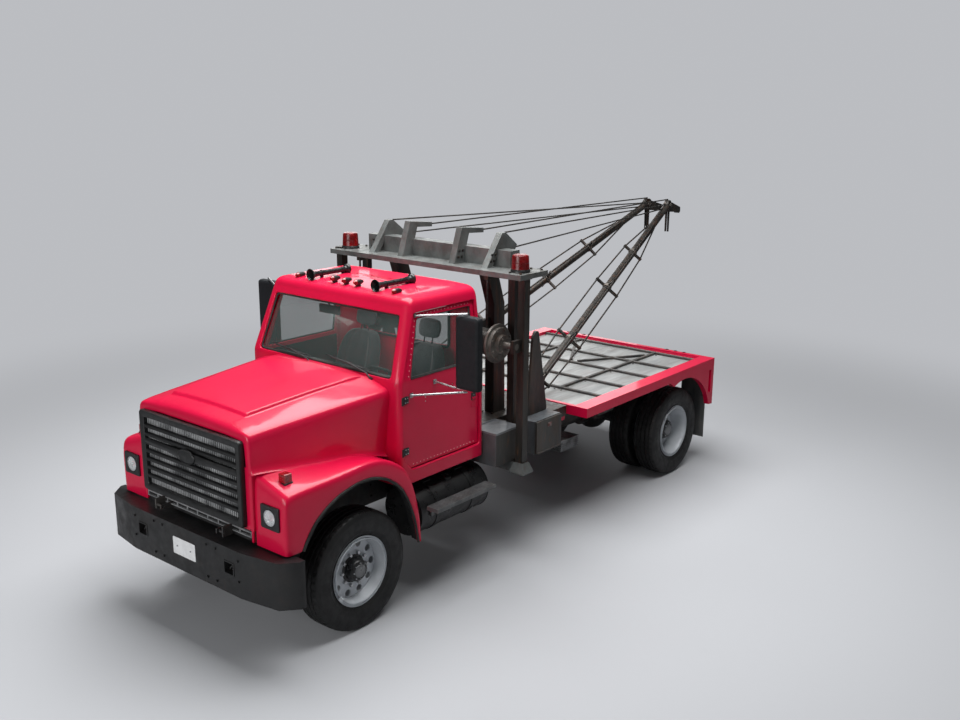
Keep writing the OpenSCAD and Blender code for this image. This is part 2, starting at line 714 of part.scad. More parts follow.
module hood() color("#b00020") {
    skin = 30;
    difference() {
        hood_outer(0);
        hull() {
            hood_section(863 - skin, nose_half, 1000, nose_top, 30, skin);
            hood_section(600, nose_half + 20, 1000, nose_top + 25, 70, skin);
            hood_section(hood_rear - 2, 850, 1000, 1955, 80, skin);
        }
        // grille opening
        box([820, -grille_half + 30, 1130], [900, grille_half - 30, nose_top - 80]);
    }
    // valance under the grille
    difference() {
        box([834, -fender_in + near, 975], [860, fender_in - near, 1101]);
        both_sides() box([830, hinge_arm[0] - 8, 970], [865, hinge_arm[1] + 6, hood_hinge[1] + 40]);
    }
    // hinge lugs and pins
    both_sides() {
        slab_y(hinge_arm[1] + 7, hinge_arm[1] + 20)
            polygon([[850, 980], [hood_hinge[0] + 20, hood_hinge[1] - 20], [hood_hinge[0] + 20, hood_hinge[1] + 20],
                     [850, 1080]]);
        bar_y(hood_hinge[0], hood_hinge[1], hood_pin_r, hinge_arm[0], hinge_arm[1] + 12);
    }
}

module grille() color("#222528") {
    z0 = 1100;
    z1 = 1810;
    rim_t = 60;
    difference() {
        box([864.5, -grille_half, z0], [908, grille_half, z1]);
        box([860, -grille_half + rim_t, z0 + rim_t], [910, grille_half - rim_t, z1 - rim_t]);
    }
    for (n = [1 : grille_bars]) {
        z = z0 + rim_t + n * (z1 - z0 - 2 * rim_t) / (grille_bars + 1);
        box([868, -grille_half + rim_t - 1, z - 12], [896, grille_half - rim_t + 1, z + 12]);
    }
}

module headlamps() color("#202224") both_sides() {
    box([830, 815, 1150], [858, 1030, 1345]);
    translate([857, 922, 1248]) rotate([0, 90, 0]) cylinder(r = 78, h = 14);
}

// ---------- cab ----------

module door_outline() {
    polygon([[hinge_x, 1330], [hinge_x, sill_z], [rake_x - 35, roof_z - 45], [cab_rear + 45, roof_z - 45],
             [cab_rear + 45, 1222], [cab_front - 130, 1222]]);
}

module window_outline() {
    polygon([[hinge_x - 105, sill_z + 8], [rake_x - 80, roof_z - 85], [cab_rear + 90, roof_z - 85],
             [cab_rear + 90, sill_z + 8]]);
}

// a wall that stands upright to the sill and leans in above it
module leaning_wall(thick) {
    half = cab_w / 2;
    intersection() {
        slab_y(half - thick, half) children();
        box([-3000, 0, 0], [0, 2000, sill_z]);
    }
    translate([0, half, sill_z]) rotate([tumble, 0, 0]) translate([0, -half, -sill_z])
        intersection() {
            slab_y(half - thick, half) children();
            box([-3000, 0, sill_z - 8], [0, 2000, 3000]);
        }
}

module cab_side_outline() {
    polygon([[cab_front, cab_z], [cab_front, sill_z], [rake_x + 2, roof_z], [cab_rear, roof_z],
             [cab_rear, cab_z]]);
}

hinge_heights = [1390, 1850];
hinge_pin = [hinge_x + 10, cab_w / 2 + 14];
barrel_r = 11;

module cab_sides() color("#98001b") both_sides() {
    leaning_wall(door_t) difference() {
        cab_side_outline();
        offset(delta = door_gap) door_outline();
    }
    // the cab's half of each hinge, above and below the door's
    for (z = hinge_heights)
        for (part = [[z + 20 + near, z + 36], [z - 36, z - 20 - near]]) {
            translate([hinge_pin[0], hinge_pin[1], part[0]]) cylinder(r = barrel_r, h = part[1] - part[0]);
            box([hinge_pin[0], cab_w / 2 - 1, part[0]], [cab_front - 1, cab_w / 2 + 6, part[1]]);
            box([hinge_pin[0], cab_w / 2 - 1, part[0]], [hinge_pin[0] + 8, hinge_pin[1], part[1]]);
        }
}

module door(side) color("#a3001d") on_side(side) {
    leaning_wall(door_t) difference() {
        door_outline();
        window_outline();
    }
    for (z = hinge_heights) {
        translate([hinge_pin[0], hinge_pin[1], z - 20]) cylinder(r = barrel_r, h = 40);
        box([hinge_x - 60, cab_w / 2 - 1, z - 20], [hinge_pin[0] - 4, cab_w / 2 + 6, z + 20]);
        box([hinge_pin[0] - 11, cab_w / 2 - 1, z - 20], [hinge_pin[0] - 4, hinge_pin[1], z + 20]);
    }
}

module door_glass(side) color("#5d6b68") on_side(side)
    translate([0, cab_w / 2, sill_z]) rotate([tumble, 0, 0]) translate([0, -cab_w / 2, -sill_z])
        slab_y(cab_w / 2 - 28, cab_w / 2 - 22) window_outline();

module cab_floor() color("#8a0018") {
    half = cab_in(cab_z);
    box([cab_rear + cab_wall, -half, cab_z], [cab_front - pillar_t, half, cab_z + 60]);
}

module cab_back() color("#98001b") difference() {
    slab_x(cab_rear, cab_rear + cab_wall)
        polygon([[-cab_in(cab_z), cab_z], [cab_in(cab_z), cab_z], [cab_in(sill_z), sill_z], [cab_in(roof_z), roof_z],
                 [-cab_in(roof_z), roof_z], [-cab_in(sill_z), sill_z]]);
    box([cab_rear - 1, -560, 2060], [cab_rear + cab_wall + 1, 560, 2470]);
}

// the windscreen plane, from the cowl to the roof
module windscreen_outline(inset_side, inset_end) {
    lo = cab_in(sill_z) - inset_side;
    hi = cab_in(roof_z) - inset_side;
    screen = norm([rake_x - cab_front, roof_z - sill_z]);
    polygon([[inset_end, -lo], [screen - inset_end, -hi], [screen - inset_end, hi], [inset_end, lo]]);
}

module on_windscreen() {
    lean = atan2(rake_x - cab_front, roof_z - sill_z);
    translate([cab_front, 0, sill_z]) rotate([0, lean, 0]) rotate([0, -90, 0]) children();
}

module cab_cowl() color("#98001b") {
    half = cab_in(sill_z);
    box([cab_front - pillar_t, -half, cab_z], [cab_front, half, sill_z]);
    on_windscreen() difference() {
        linear_extrude(pillar_t) windscreen_outline(0, 0);
        translate([0, 0, -1]) linear_extrude(pillar_t + 2) windscreen_outline(55, 30);
    }
}

module cab_glass() color("#66746f") {
    on_windscreen() translate([0, 0, 6]) linear_extrude(8) windscreen_outline(55, 30);
    box([cab_rear + 16, -560, 2060], [cab_rear + 22, 560, 2470]);
}

roof_half = leaning(cab_w / 2, roof_z) + 4;
roof_round = 60;
roof_crown = [70, 84];   // height of the roof over its edge, where the round starts and in the middle

function roof_at(y) = roof_z + roof_crown[1]
    - (roof_crown[1] - roof_crown[0]) * y / (roof_half - roof_round);

module cab_roof() color("#c0152c") {
    side = roof_half;
    difference() {
        slab_x(cab_rear - 6, rake_x + 6)
            polygon([[-side, roof_z + near], [-side, roof_z + 35], [-side + roof_round, roof_z + roof_crown[0]],
                     [0, roof_z + roof_crown[1]], [side - roof_round, roof_z + roof_crown[0]],
                     [side, roof_z + 35], [side, roof_z + near]]);
        box([cab_rear + cab_wall, -side + 70, roof_z - 10], [rake_x - 40, side - 70, roof_z + 42]);
    }
}

module seat(y) translate([-1150, y, 0]) {
    box([-180, -200, cab_z + 60], [180, 200, cab_z + 330]);
    box([-270, -250, cab_z + 330], [270, 250, cab_z + 470]);
    slab_y(y0 = -245, y1 = 245) polygon([[-270, cab_z + 469], [-130, cab_z + 469], [-230, cab_z + 1060],
                                         [-320, cab_z + 1060]]);
    slab_y(y0 = -140, y1 = 140) polygon([[-235, cab_z + 1090], [-205, cab_z + 1270], [-300, cab_z + 1270],
                                         [-320, cab_z + 1090]]);
    for (s = [-60, 60]) bar([-275, s, cab_z + 1040], [-275, s, cab_z + 1110], 8);
}

module seats() color("#2e3133") for (y = [-420, 420]) seat(y);

module dashboard() color("#303335") slab_y(-cab_w / 2 + door_t + 10, cab_w / 2 - door_t - 10)
    polygon([[cab_front - pillar_t - near, 1700], [cab_front - pillar_t - near, sill_z - 15],
             [cab_front - 210, sill_z - 30],
             [cab_front - 330, sill_z - 110], [cab_front - 330, 1800], [cab_front - 200, 1700]]);

module steering_wheel() color("#1c1d1f") {
    rake = 35;
    centre = [cab_front - 450, 420, sill_z - 135];
    column = (centre[0] - cab_front + pillar_t + near + 25 * cos(rake)) / -sin(rake);
    translate(centre) rotate([0, -rake, 0]) {
        rotate_extrude($fn = 64) translate([215, 0]) circle(r = 14, $fn = 24);
        translate([0, 0, -20]) cylinder(r = 42, h = 35);
        for (q = [30, 150, 270]) rotate(q) box([36, -12, -8], [212, 12, 8]);
        translate([0, 0, -column]) cylinder(r = 25, h = column);
    }
}

module air_horns() color("#141516") both_sides() {
    z = 2748;
    y = 422;
    translate([-1300, y, z]) rotate([0, 90, 0]) {
        cylinder(r = 48, h = 30);
        translate([0, 0, 29]) cylinder(r = 22, h = 390);
        translate([0, 0, 400]) cylinder(r1 = 22, r2 = 56, h = 80);
    }
    // feet on the roof
    for (x = [-1230, -960]) box([x - 12, y - 12, roof_at(y - 12) + near], [x + 12, y + 12, z - 15]);
}

module mirror_arm(side) color("#1e2123") on_side(side) {
    half = cab_w / 2;
    x = -1040;
    tube = 9;
    pad = 10;
    box([x - 35, 1180, 1915], [x + 35, 1435, 2565]);
    // lower tube arms from pads on the door: [x on the door, z on the door, z at the mirror]
    for (a = [[-700, 1880, 1900], [-1000, 1940, 1904]]) {
        box([a[0] - 20, half, a[1] - 20], [a[0] + 20, half + pad, a[1] + 20]);
        bar([a[0], half + 8, a[1]], [x, 1300, a[2]], tube);
    }
    bar([x, 1300, 1893], [x, 1300, 1916], tube);
    // upper tube arm from a pad on the leaning window frame
    up = (roof_z - 65 - sill_z) / cos(tumble);
    at = rake_x - 60;
    translate([at, half, sill_z]) rotate([tumble, 0, 0]) box([-15, 0, up - 15], [15, pad, up + 15]);
    bar([at, half + 8 * cos(tumble) - up * sin(tumble), sill_z + 8 * sin(tumble) + up * cos(tumble)],
        [x, 1300, 2585], tube);
    bar([x, 1300, 2564], [x, 1300, 2592], tube);
}

from_axle() chassis_frame();
from_axle() front_bumper();
from_axle() radiator();
from_axle() engine();
from_axle() cab_floor();
from_axle() cab_roof();
from_axle() cab_back();
from_axle() cab_cowl();
from_axle() cab_sides();
from_axle() cab_glass();
from_axle() seats();
from_axle() dashboard();
from_axle() steering_wheel();
from_axle() air_horns();
from_axle() fuel_tanks();
from_axle() tank_steps();
from_axle() front_axle();
from_axle() rear_axle();
from_axle() leaf_springs();
from_axle() driveshaft();
from_axle() bed_frame();
from_axle() deck();
from_axle() mud_flaps();
from_axle() gantry();
from_axle() mast_posts();
from_axle() winch_tower();
from_axle() side_plates();
from_axle() beacons();
from_axle() toolboxes();
from_axle() hood();
from_axle() fenders();
from_axle() grille();
from_axle() headlamps();
from_axle() door("left");  // door_left
from_axle() door("right");  // door_right
from_axle() door_glass("left");  // door_glass_left
from_axle() door_glass("right");  // door_glass_right
from_axle() mirror_arm("left");  // mirror_left
from_axle() mirror_arm("right");  // mirror_right
from_axle() knuckle("left");  // knuckle_left
from_axle() knuckle("right");  // knuckle_right
from_axle() tie_rod();
from_axle() front_rim("left");  // front_rim_left
from_axle() front_tyre("left");  // front_tyre_left
from_axle() front_rim("right");  // front_rim_right
from_axle() front_tyre("right");  // front_tyre_right
from_axle() rear_rims("left");  // rear_rims_left
from_axle() rear_tyres("left");  // rear_tyres_left
from_axle() rear_rims("right");  // rear_rims_right
from_axle() rear_tyres("right");  // rear_tyres_right
from_axle() boom("left");  // boom_left
from_axle() boom("right");  // boom_right
from_axle() boom_lines("left");  // boom_lines_left
from_axle() boom_lines("right");  // boom_lines_right
from_axle() winch_drum("left");  // winch_drum_left
from_axle() winch_drum("right");  // winch_drum_right
from_axle() toolbox_lid("left");  // toolbox_lid_left
from_axle() toolbox_lid("right");  // toolbox_lid_right
from_axle() toolbox_door("left");  // toolbox_door_left
from_axle() toolbox_door("right");  // toolbox_door_right
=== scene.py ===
import bpy
import bmesh
import json
import math
from mathutils import Matrix, Vector

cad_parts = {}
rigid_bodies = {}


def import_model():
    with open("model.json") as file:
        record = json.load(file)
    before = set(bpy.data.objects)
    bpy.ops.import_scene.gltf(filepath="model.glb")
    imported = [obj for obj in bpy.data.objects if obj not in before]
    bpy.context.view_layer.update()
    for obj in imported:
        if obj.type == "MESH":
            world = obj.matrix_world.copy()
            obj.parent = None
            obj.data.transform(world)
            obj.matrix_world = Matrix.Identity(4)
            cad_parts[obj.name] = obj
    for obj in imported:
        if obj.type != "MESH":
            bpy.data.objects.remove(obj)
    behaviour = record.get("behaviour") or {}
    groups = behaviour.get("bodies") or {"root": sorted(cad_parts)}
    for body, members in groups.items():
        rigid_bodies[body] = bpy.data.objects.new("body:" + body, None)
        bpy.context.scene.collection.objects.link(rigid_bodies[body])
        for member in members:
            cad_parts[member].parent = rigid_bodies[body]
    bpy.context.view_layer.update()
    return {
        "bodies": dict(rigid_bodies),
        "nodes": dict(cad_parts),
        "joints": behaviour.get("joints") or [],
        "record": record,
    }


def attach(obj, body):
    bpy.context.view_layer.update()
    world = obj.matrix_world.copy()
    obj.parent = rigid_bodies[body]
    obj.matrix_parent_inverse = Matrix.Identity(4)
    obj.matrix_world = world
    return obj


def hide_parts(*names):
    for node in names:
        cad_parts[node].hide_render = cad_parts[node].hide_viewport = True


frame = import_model()
FRONT_AXLE = 2.87847        # the front axle's place along the truck, in the shared frame


# ---------- camera, light and floor ----------
# A high three-quarter view from the front left; a wide soft lamp overhead,
# three fills round the truck and one in the cab, over a plain pale floor.
eye = Vector((8.43097, 6.8541, 4.4249))
turn, dip, roll = -2.45347, -0.25415, 0.00666
ahead = Vector((math.cos(dip) * math.cos(turn), math.cos(dip) * math.sin(turn), math.sin(dip)))
across = ahead.cross(Vector((0, 0, 1))).normalized()
upward = across.cross(ahead)
right = math.cos(roll) * across + math.sin(roll) * upward
above = math.cos(roll) * upward - math.sin(roll) * across
camera = bpy.data.objects.new("camera", bpy.data.cameras.new("camera"))
bpy.context.scene.collection.objects.link(camera)
camera.matrix_world = Matrix((right, above, -ahead)).transposed().to_4x4()
camera.location = eye
camera.data.sensor_width = 36
camera.data.lens = 39.196
camera.data.clip_end = 200
bpy.context.scene.camera = camera
bpy.context.scene.view_settings.view_transform = "Standard"


def lamp(name, spot, aim, size, watts, tint=(1, 1, 1)):
    light = bpy.data.lights.new(name, "AREA")
    light.shape, light.size, light.size_y = "RECTANGLE", size[0], size[1]
    light.energy, light.color = watts, tint
    o = bpy.data.objects.new(name, light)
    bpy.context.scene.collection.objects.link(o)
    o.location = spot
    o.rotation_euler = (Vector(aim) - Vector(spot)).to_track_quat("-Z", "Y").to_euler()


lamp("overhead", (0.5, 0, 8.5), (0, 0, 0), (9, 6), 1450)
lamp("nose_fill", (11, 0.5, 3.6), (2, 0, 1.2), (6, 4), 400)
lamp("side_fill", (1, 10, 3.0), (0, 0, 1), (9, 4), 12)
lamp("far_fill", (-9, -8, 4.5), (0, 0, 1), (8, 5), 300)
lamp("cab_fill", (1.75, 0.1, 2.50), (1.6, 0, 1.5), (0.7, 0.9), 5)

world = bpy.data.worlds.new("studio")
bpy.context.scene.world = world
world.use_nodes = True
sky = world.node_tree
sky.nodes["Background"].inputs["Color"].default_value = (0.86, 0.87, 0.90, 1)
sky.nodes["Background"].inputs["Strength"].default_value = 0.115
plain = sky.nodes.new("ShaderNodeBackground")
plain.inputs["Color"].default_value = (0.50, 0.51, 0.535, 1)
plain.inputs["Strength"].default_value = 1
ray = sky.nodes.new("ShaderNodeLightPath")
seen = sky.nodes.new("ShaderNodeMixShader")
sky.links.new(ray.outputs["Is Camera Ray"], seen.inputs[0])
sky.links.new(sky.nodes["Background"].outputs[0], seen.inputs[1])
sky.links.new(plain.outputs[0], seen.inputs[2])
sky.links.new(seen.outputs[0], sky.nodes["World Output"].inputs["Surface"])

floor_mesh = bpy.data.meshes.new("floor")
floor_mesh.from_pydata([(-60, -60, 0), (60, -60, 0), (60, 60, 0), (-60, 60, 0)], [], [(0, 1, 2, 3)])
floor = bpy.data.objects.new("floor", floor_mesh)
bpy.context.scene.collection.objects.link(floor)
floor_finish = bpy.data.materials.new("studio floor")
floor_finish.use_nodes = True
floor_shader = floor_finish.node_tree.nodes["Principled BSDF"]
floor_shader.inputs["Base Color"].default_value = (0.62, 0.63, 0.66, 1)
floor_shader.inputs["Roughness"].default_value = 0.85
floor_colour = floor_finish.node_tree.nodes.new("ShaderNodeMix")
floor_colour.data_type = "RGBA"
floor_colour.inputs[6].default_value = (0.14, 0.142, 0.15, 1)
floor_colour.inputs[7].default_value = (0.42, 0.43, 0.45, 1)
far_floor = floor_finish.node_tree.nodes.new("ShaderNodeEmission")
far_floor.inputs["Color"].default_value = (0.50, 0.51, 0.535, 1)
spot = floor_finish.node_tree.nodes.new("ShaderNodeTexCoord")
distance = floor_finish.node_tree.nodes.new("ShaderNodeVectorMath")
distance.operation = "LENGTH"
fade = floor_finish.node_tree.nodes.new("ShaderNodeMapRange")
fade.interpolation_type = "SMOOTHERSTEP"
fade.inputs["From Min"].default_value, fade.inputs["From Max"].default_value = 4.0, 11.5
seen_ray = floor_finish.node_tree.nodes.new("ShaderNodeLightPath")
only_seen = floor_finish.node_tree.nodes.new("ShaderNodeMath")
only_seen.operation = "MULTIPLY"
merged = floor_finish.node_tree.nodes.new("ShaderNodeMixShader")
connect = floor_finish.node_tree.links.new
any_seen = floor_finish.node_tree.nodes.new("ShaderNodeMath")
any_seen.operation, any_seen.use_clamp = "ADD", True
through = floor_finish.node_tree.nodes.new("ShaderNodeMath")
through.operation, through.use_clamp = "ADD", True
connect(seen_ray.outputs["Is Camera Ray"], any_seen.inputs[0])
connect(any_seen.outputs[0], through.inputs[0])
connect(seen_ray.outputs["Is Transmission Ray"], through.inputs[1])
connect(through.outputs[0], floor_colour.inputs[0])
connect(floor_colour.outputs[2], floor_shader.inputs["Base Color"])
connect(spot.outputs["Object"], distance.inputs[0])
connect(distance.outputs["Value"], fade.inputs["Value"])
connect(fade.outputs[0], only_seen.inputs[0])
connect(seen_ray.outputs["Is Camera Ray"], only_seen.inputs[1])
connect(only_seen.outputs[0], merged.inputs[0])
connect(floor_shader.outputs[0], merged.inputs[1])
connect(far_floor.outputs[0], merged.inputs[2])
connect(merged.outputs[0], floor_finish.node_tree.nodes["Material Output"].inputs["Surface"])
floor_mesh.materials.append(floor_finish)


# ---------- frame rails, axles and driveline ----------
# Pressed steel channels, forged axle parts and sprung leaves under black
# chassis paint, which has gone dull and dusty and is rusty in the corners.
def finish(name, colour, rough=0.5, metal=0.0, second=None, scale=6.0, spread=(0.42, 0.62), rust=0.0, dust=0.0,
           bump=0.0, grain=180.0, coat=0.0, streak=(1, 1, 1), rough_spread=0.12):
    """A painted or bare surface: two colours in soft patches, then rust, then dust, with a fine bump."""
    m = bpy.data.materials.new(name)
    m.use_nodes = True
    t = m.node_tree
    shader = t.nodes["Principled BSDF"]

    def node(kind, **values):
        n = t.nodes.new(kind)
        for key, value in values.items():
            if key in n.inputs:
                n.inputs[key].default_value = value
            else:
                setattr(n, key, value)
        return n

    place = node("ShaderNodeTexCoord")
    mapped = node("ShaderNodeMapping")
    mapped.inputs["Scale"].default_value = streak
    t.links.new(place.outputs["Object"], mapped.inputs["Vector"])

    def patches(size, low, high, detail=6.0):
        noise = node("ShaderNodeTexNoise", Scale=size, Detail=detail, Roughness=0.6)
        ramp = node("ShaderNodeMapRange")
        ramp.inputs["From Min"].default_value = low
        ramp.inputs["From Max"].default_value = high
        t.links.new(mapped.outputs[0], noise.inputs["Vector"])
        t.links.new(noise.outputs["Fac"], ramp.inputs["Value"])
        return ramp.outputs[0]

    def blend(below, above_colour, amount):
        mix = node("ShaderNodeMix", data_type="RGBA")
        mix.inputs[7].default_value = (*above_colour, 1)
        t.links.new(amount, mix.inputs[0])
        if isinstance(below, tuple):
            mix.inputs[6].default_value = (*below, 1)
        else:
            t.links.new(below, mix.inputs[6])
        return mix.outputs[2]

    def scaled(amount, by):
        mul = node("ShaderNodeMath", operation="MULTIPLY")
        mul.inputs[1].default_value = by
        t.links.new(amount, mul.inputs[0])
        return mul.outputs[0]

    base = blend(colour, second or tuple(c * 0.82 for c in colour), patches(scale, *spread))
    if rust:
        base = blend(base, (0.085, 0.036, 0.018), scaled(patches(scale * 1.7, 0.52, 0.70), rust))
        base = blend(base, (0.16, 0.065, 0.025), scaled(patches(scale * 4, 0.60, 0.72), rust))
    if dust:
        base = blend(base, (0.23, 0.21, 0.185), scaled(patches(scale * 0.8, 0.40, 0.75), dust))
    t.links.new(base, shader.inputs["Base Color"])
    worn = node("ShaderNodeMapRange")
    worn.inputs["To Min"].default_value = max(0.03, rough - rough_spread)
    worn.inputs["To Max"].default_value = min(1, rough + rough_spread)
    t.links.new(patches(scale * 3, 0.35, 0.65), worn.inputs["Value"])
    t.links.new(worn.outputs[0], shader.inputs["Roughness"])
    shader.inputs["Metallic"].default_value = metal
    shader.inputs["Coat Weight"].default_value = coat
    shader.inputs["Coat Roughness"].default_value = 0.08
    if bump:
        fine = node("ShaderNodeTexNoise", Scale=grain, Detail=3.0)
        t.links.new(place.outputs["Object"], fine.inputs["Vector"])
        raised = node("ShaderNodeBump", Strength=bump, Distance=0.002)
        t.links.new(fine.outputs["Fac"], raised.inputs["Height"])
        t.links.new(raised.outputs[0], shader.inputs["Normal"])
    return m


def settle(name, mesh, body, surface, stands_for=(), bevel=0.0, segments=2, smooth=38, measured="axle"):
    """Makes the finished object of a mesh or bmesh, puts it on its body and gives it its materials. A mesh drawn from
    the front axle is moved into the shared frame."""
    if isinstance(mesh, bmesh.types.BMesh):
        made = bpy.data.meshes.new(name)
        mesh.to_mesh(made)
        mesh.free()
        mesh = made
    if measured == "axle":
        mesh.transform(Matrix.Translation((FRONT_AXLE, 0, 0)))
    mesh.name = name
    o = bpy.data.objects.new(name, mesh)
    bpy.context.scene.collection.objects.link(o)
    kinds = [p.material_index for p in mesh.polygons]
    surfaces = surface if isinstance(surface, (list, tuple)) else [surface]
    mesh.materials.clear()
    for m in surfaces:
        mesh.materials.append(m)
    for p, kind in zip(mesh.polygons, kinds):
        p.use_smooth = True
        p.material_index = kind if len(surfaces) > 1 else 0
    if bevel:
        edge = o.modifiers.new("eased edges", "BEVEL")
        edge.width, edge.segments, edge.limit_method = bevel, segments, "ANGLE"
        edge.angle_limit = math.radians(30)
        edge.harden_normals = True
    mesh.set_sharp_from_angle(angle=math.radians(smooth))
    o.modifiers.new("flat faces", "WEIGHTED_NORMAL").keep_sharp = True
    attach(o, body)
    if stands_for:
        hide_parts(*stands_for)
    return o


def eased_copy(node_name, body, surface, bevel=0.004, segments=2, name=None, change=None):
    """A merged copy of a CAD piece with its edges eased, as rolled and ground steel has them."""
    b = bmesh.new()
    b.from_mesh(frame["nodes"][node_name].data)
    bmesh.ops.remove_doubles(b, verts=b.verts, dist=0.0002)
    bmesh.ops.dissolve_limit(b, angle_limit=math.radians(1.5), verts=b.verts, edges=b.edges)
    if change:
        change(b)
    return settle(name or node_name + "_body", b, body, surface, (node_name,), bevel, segments,
                  measured="frame")


chassis_black = finish("chassis paint", (0.022, 0.023, 0.025), 0.55, second=(0.035, 0.034, 0.033), rust=0.35,
                       dust=0.30, bump=0.25, grain=90)

for node_name in ("chassis_frame", "front_axle", "leaf_springs", "rear_axle", "driveshaft"):
    eased_copy(node_name, "chassis", chassis_black, 0.003)
for side in ("left", "right"):
    eased_copy("knuckle_" + side, "knuckle_" + side, chassis_black, 0.002)
eased_copy("tie_rod", "tie_rod", chassis_black, 0.002)
engine_grey = finish("engine paint", (0.045, 0.048, 0.052), 0.5, rust=0.2, dust=0.3, bump=0.3, grain=60)
eased_copy("engine", "chassis", engine_grey, 0.02, 3)
core_grey = finish("radiator core", (0.16, 0.17, 0.18), 0.45, metal=0.6, dust=0.25)
eased_copy("radiator", "chassis", core_grey, 0.004)


def place_instances(name, spots, shape, sizes, surface, body):
    """Puts one small shape at every spot, turned to face along it. A spot is a point, the way it faces, and
    for a block the way its length runs."""
    points = bpy.data.meshes.new(name)
    points.from_pydata([s[0] for s in spots], [], [])
    for key, k in (("facing", 1), ("running", 2)):
        layer = points.attributes.new(key, "FLOAT_VECTOR", "POINT")
        for i, s in enumerate(spots):
            layer.data[i].vector = s[k] if len(s) > k else (0, 0, 1)
    holder = bpy.data.objects.new(name, points)
    bpy.context.scene.collection.objects.link(holder)
    tree = bpy.data.node_groups.new(name, "GeometryNodeTree")
    tree.interface.new_socket("Geometry", in_out="INPUT", socket_type="NodeSocketGeometry")
    tree.interface.new_socket("Geometry", in_out="OUTPUT", socket_type="NodeSocketGeometry")
    sockets = [tree.interface.new_socket(label, in_out="INPUT", socket_type="NodeSocketFloat")
               for label in ("Width", "Height", "Length")]
    n, link = tree.nodes, tree.links.new
    given, out = n.new("NodeGroupInput"), n.new("NodeGroupOutput")
    if shape == "block":
        form = n.new("GeometryNodeMeshCube")
        joined = n.new("ShaderNodeCombineXYZ")
        link(given.outputs["Length"], joined.inputs[0])
        link(given.outputs["Width"], joined.inputs[1])
        link(given.outputs["Height"], joined.inputs[2])
        link(joined.outputs[0], form.inputs["Size"])
    elif shape == "dome":
        form = n.new("GeometryNodeMeshIcoSphere")
        form.inputs["Subdivisions"].default_value = 2
        link(given.outputs["Width"], form.inputs["Radius"])
    else:
        form = n.new("GeometryNodeMeshCone")
        form.inputs["Vertices"].default_value = shape
        link(given.outputs["Width"], form.inputs["Radius Bottom"])
        shrink = n.new("ShaderNodeMath")
        shrink.operation = "MULTIPLY"
        shrink.inputs[1].default_value = 0.86
        link(given.outputs["Width"], shrink.inputs[0])
        link(shrink.outputs[0], form.inputs["Radius Top"])
        link(given.outputs["Height"], form.inputs["Depth"])
    turns = None
    for axis, key in (("Z", "facing"), ("X", "running")):
        if axis == "X" and shape != "block":
            continue
        read = n.new("GeometryNodeInputNamedAttribute")
        read.data_type = "FLOAT_VECTOR"
        read.inputs["Name"].default_value = key
        aim = n.new("FunctionNodeAlignRotationToVector")
        aim.axis = axis
        aim.pivot_axis = "Z" if axis == "X" else "AUTO"
        link(read.outputs["Attribute"], aim.inputs["Vector"])
        if turns:
            link(turns, aim.inputs["Rotation"])
        turns = aim.outputs["Rotation"]
    many = n.new("GeometryNodeInstanceOnPoints")
    real = n.new("GeometryNodeRealizeInstances")
    coat = n.new("GeometryNodeSetMaterial")
    coat.inputs["Material"].default_value = surface
    link(given.outputs["Geometry"], many.inputs["Points"])
    link(form.outputs[0], many.inputs["Instance"])
    link(turns, many.inputs["Rotation"])
    link(many.outputs[0], real.inputs[0])
    link(real.outputs[0], coat.inputs["Geometry"])
    link(coat.outputs[0], out.inputs[0])
    modifier = holder.modifiers.new("instances", "NODES")
    modifier.node_group = tree
    for socket, value in zip(sockets, sizes):
        modifier[socket.identifier] = value
    bpy.context.view_layer.update()
    mesh = bpy.data.meshes.new_from_object(holder.evaluated_get(bpy.context.evaluated_depsgraph_get()))
    bpy.data.objects.remove(holder)
    return settle(name, mesh, body, surface, smooth=30)


def spaced(first, step, count):
    """Places in a row, an even step apart."""
    return [first + step * i for i in range(count)]


def both(spots):
    """The spots of one side and their mirror images on the other."""
    return list(spots) + [tuple(Vector((v[0], -v[1], v[2])) for v in s) for s in spots]


rail_bolts = both([((x, 0.4315, z), (0, 1, 0)) for x in spaced(0.55, -0.42, 15) for z in (0.82, 0.93)])
place_instances("rail_bolts", rail_bolts, 6, (0.013, 0.012, 0), chassis_black, "chassis")


# ---------- hood, cheeks and fenders ----------
# One glass-fibre front that tilts forward, in deep red gloss. The hood has a
# raised centre, and its sides flow into the tops of the fenders.
paint = finish("red gloss", (0.60, 0.0016, 0.044), 0.42, second=(0.56, 0.0014, 0.039), scale=1.6, coat=0.42,
               rough_spread=0.03)
paint.node_tree.nodes["Principled BSDF"].inputs["Specular IOR Level"].default_value = 0.20


def skin(rings, closed=False, into=None):
    """A sheet through rows of points that all have the same count."""
    b = into or bmesh.new()
    rows = [[b.verts.new(p) for p in ring] for ring in rings]
    for a, c in zip(rows, rows[1:]):
        count = len(a)
        for i in range(count if closed else count - 1):
            j = (i + 1) % count
            b.faces.new((a[i], a[j], c[j], c[i]))
    return b


def faced(b):
    """Turns a form's faces outward."""
    bmesh.ops.recalc_face_normals(b, faces=b.faces)
    return b


def mirrored(points):
    """A half section and its mirror image, as one row from side to side."""
    return list(points) + [(x, -y, z) for x, y, z in reversed(points) if abs(y) > 1e-6]


def soften(o, levels, wall=0.0):
    """Subdivides a sheet, then gives it its wall on the inside."""
    smooth = o.modifiers.new("smooth", "SUBSURF")
    smooth.levels = smooth.render_levels = levels
    smooth.boundary_smooth = "PRESERVE_CORNERS"
    o.modifiers.move(len(o.modifiers) - 1, 0)
    if wall:
        thick = o.modifiers.new("wall", "SOLIDIFY")
        thick.thickness, thick.offset = wall, -1
        thick.use_even_offset = False
        o.modifiers.move(len(o.modifiers) - 1, 1)
    return o


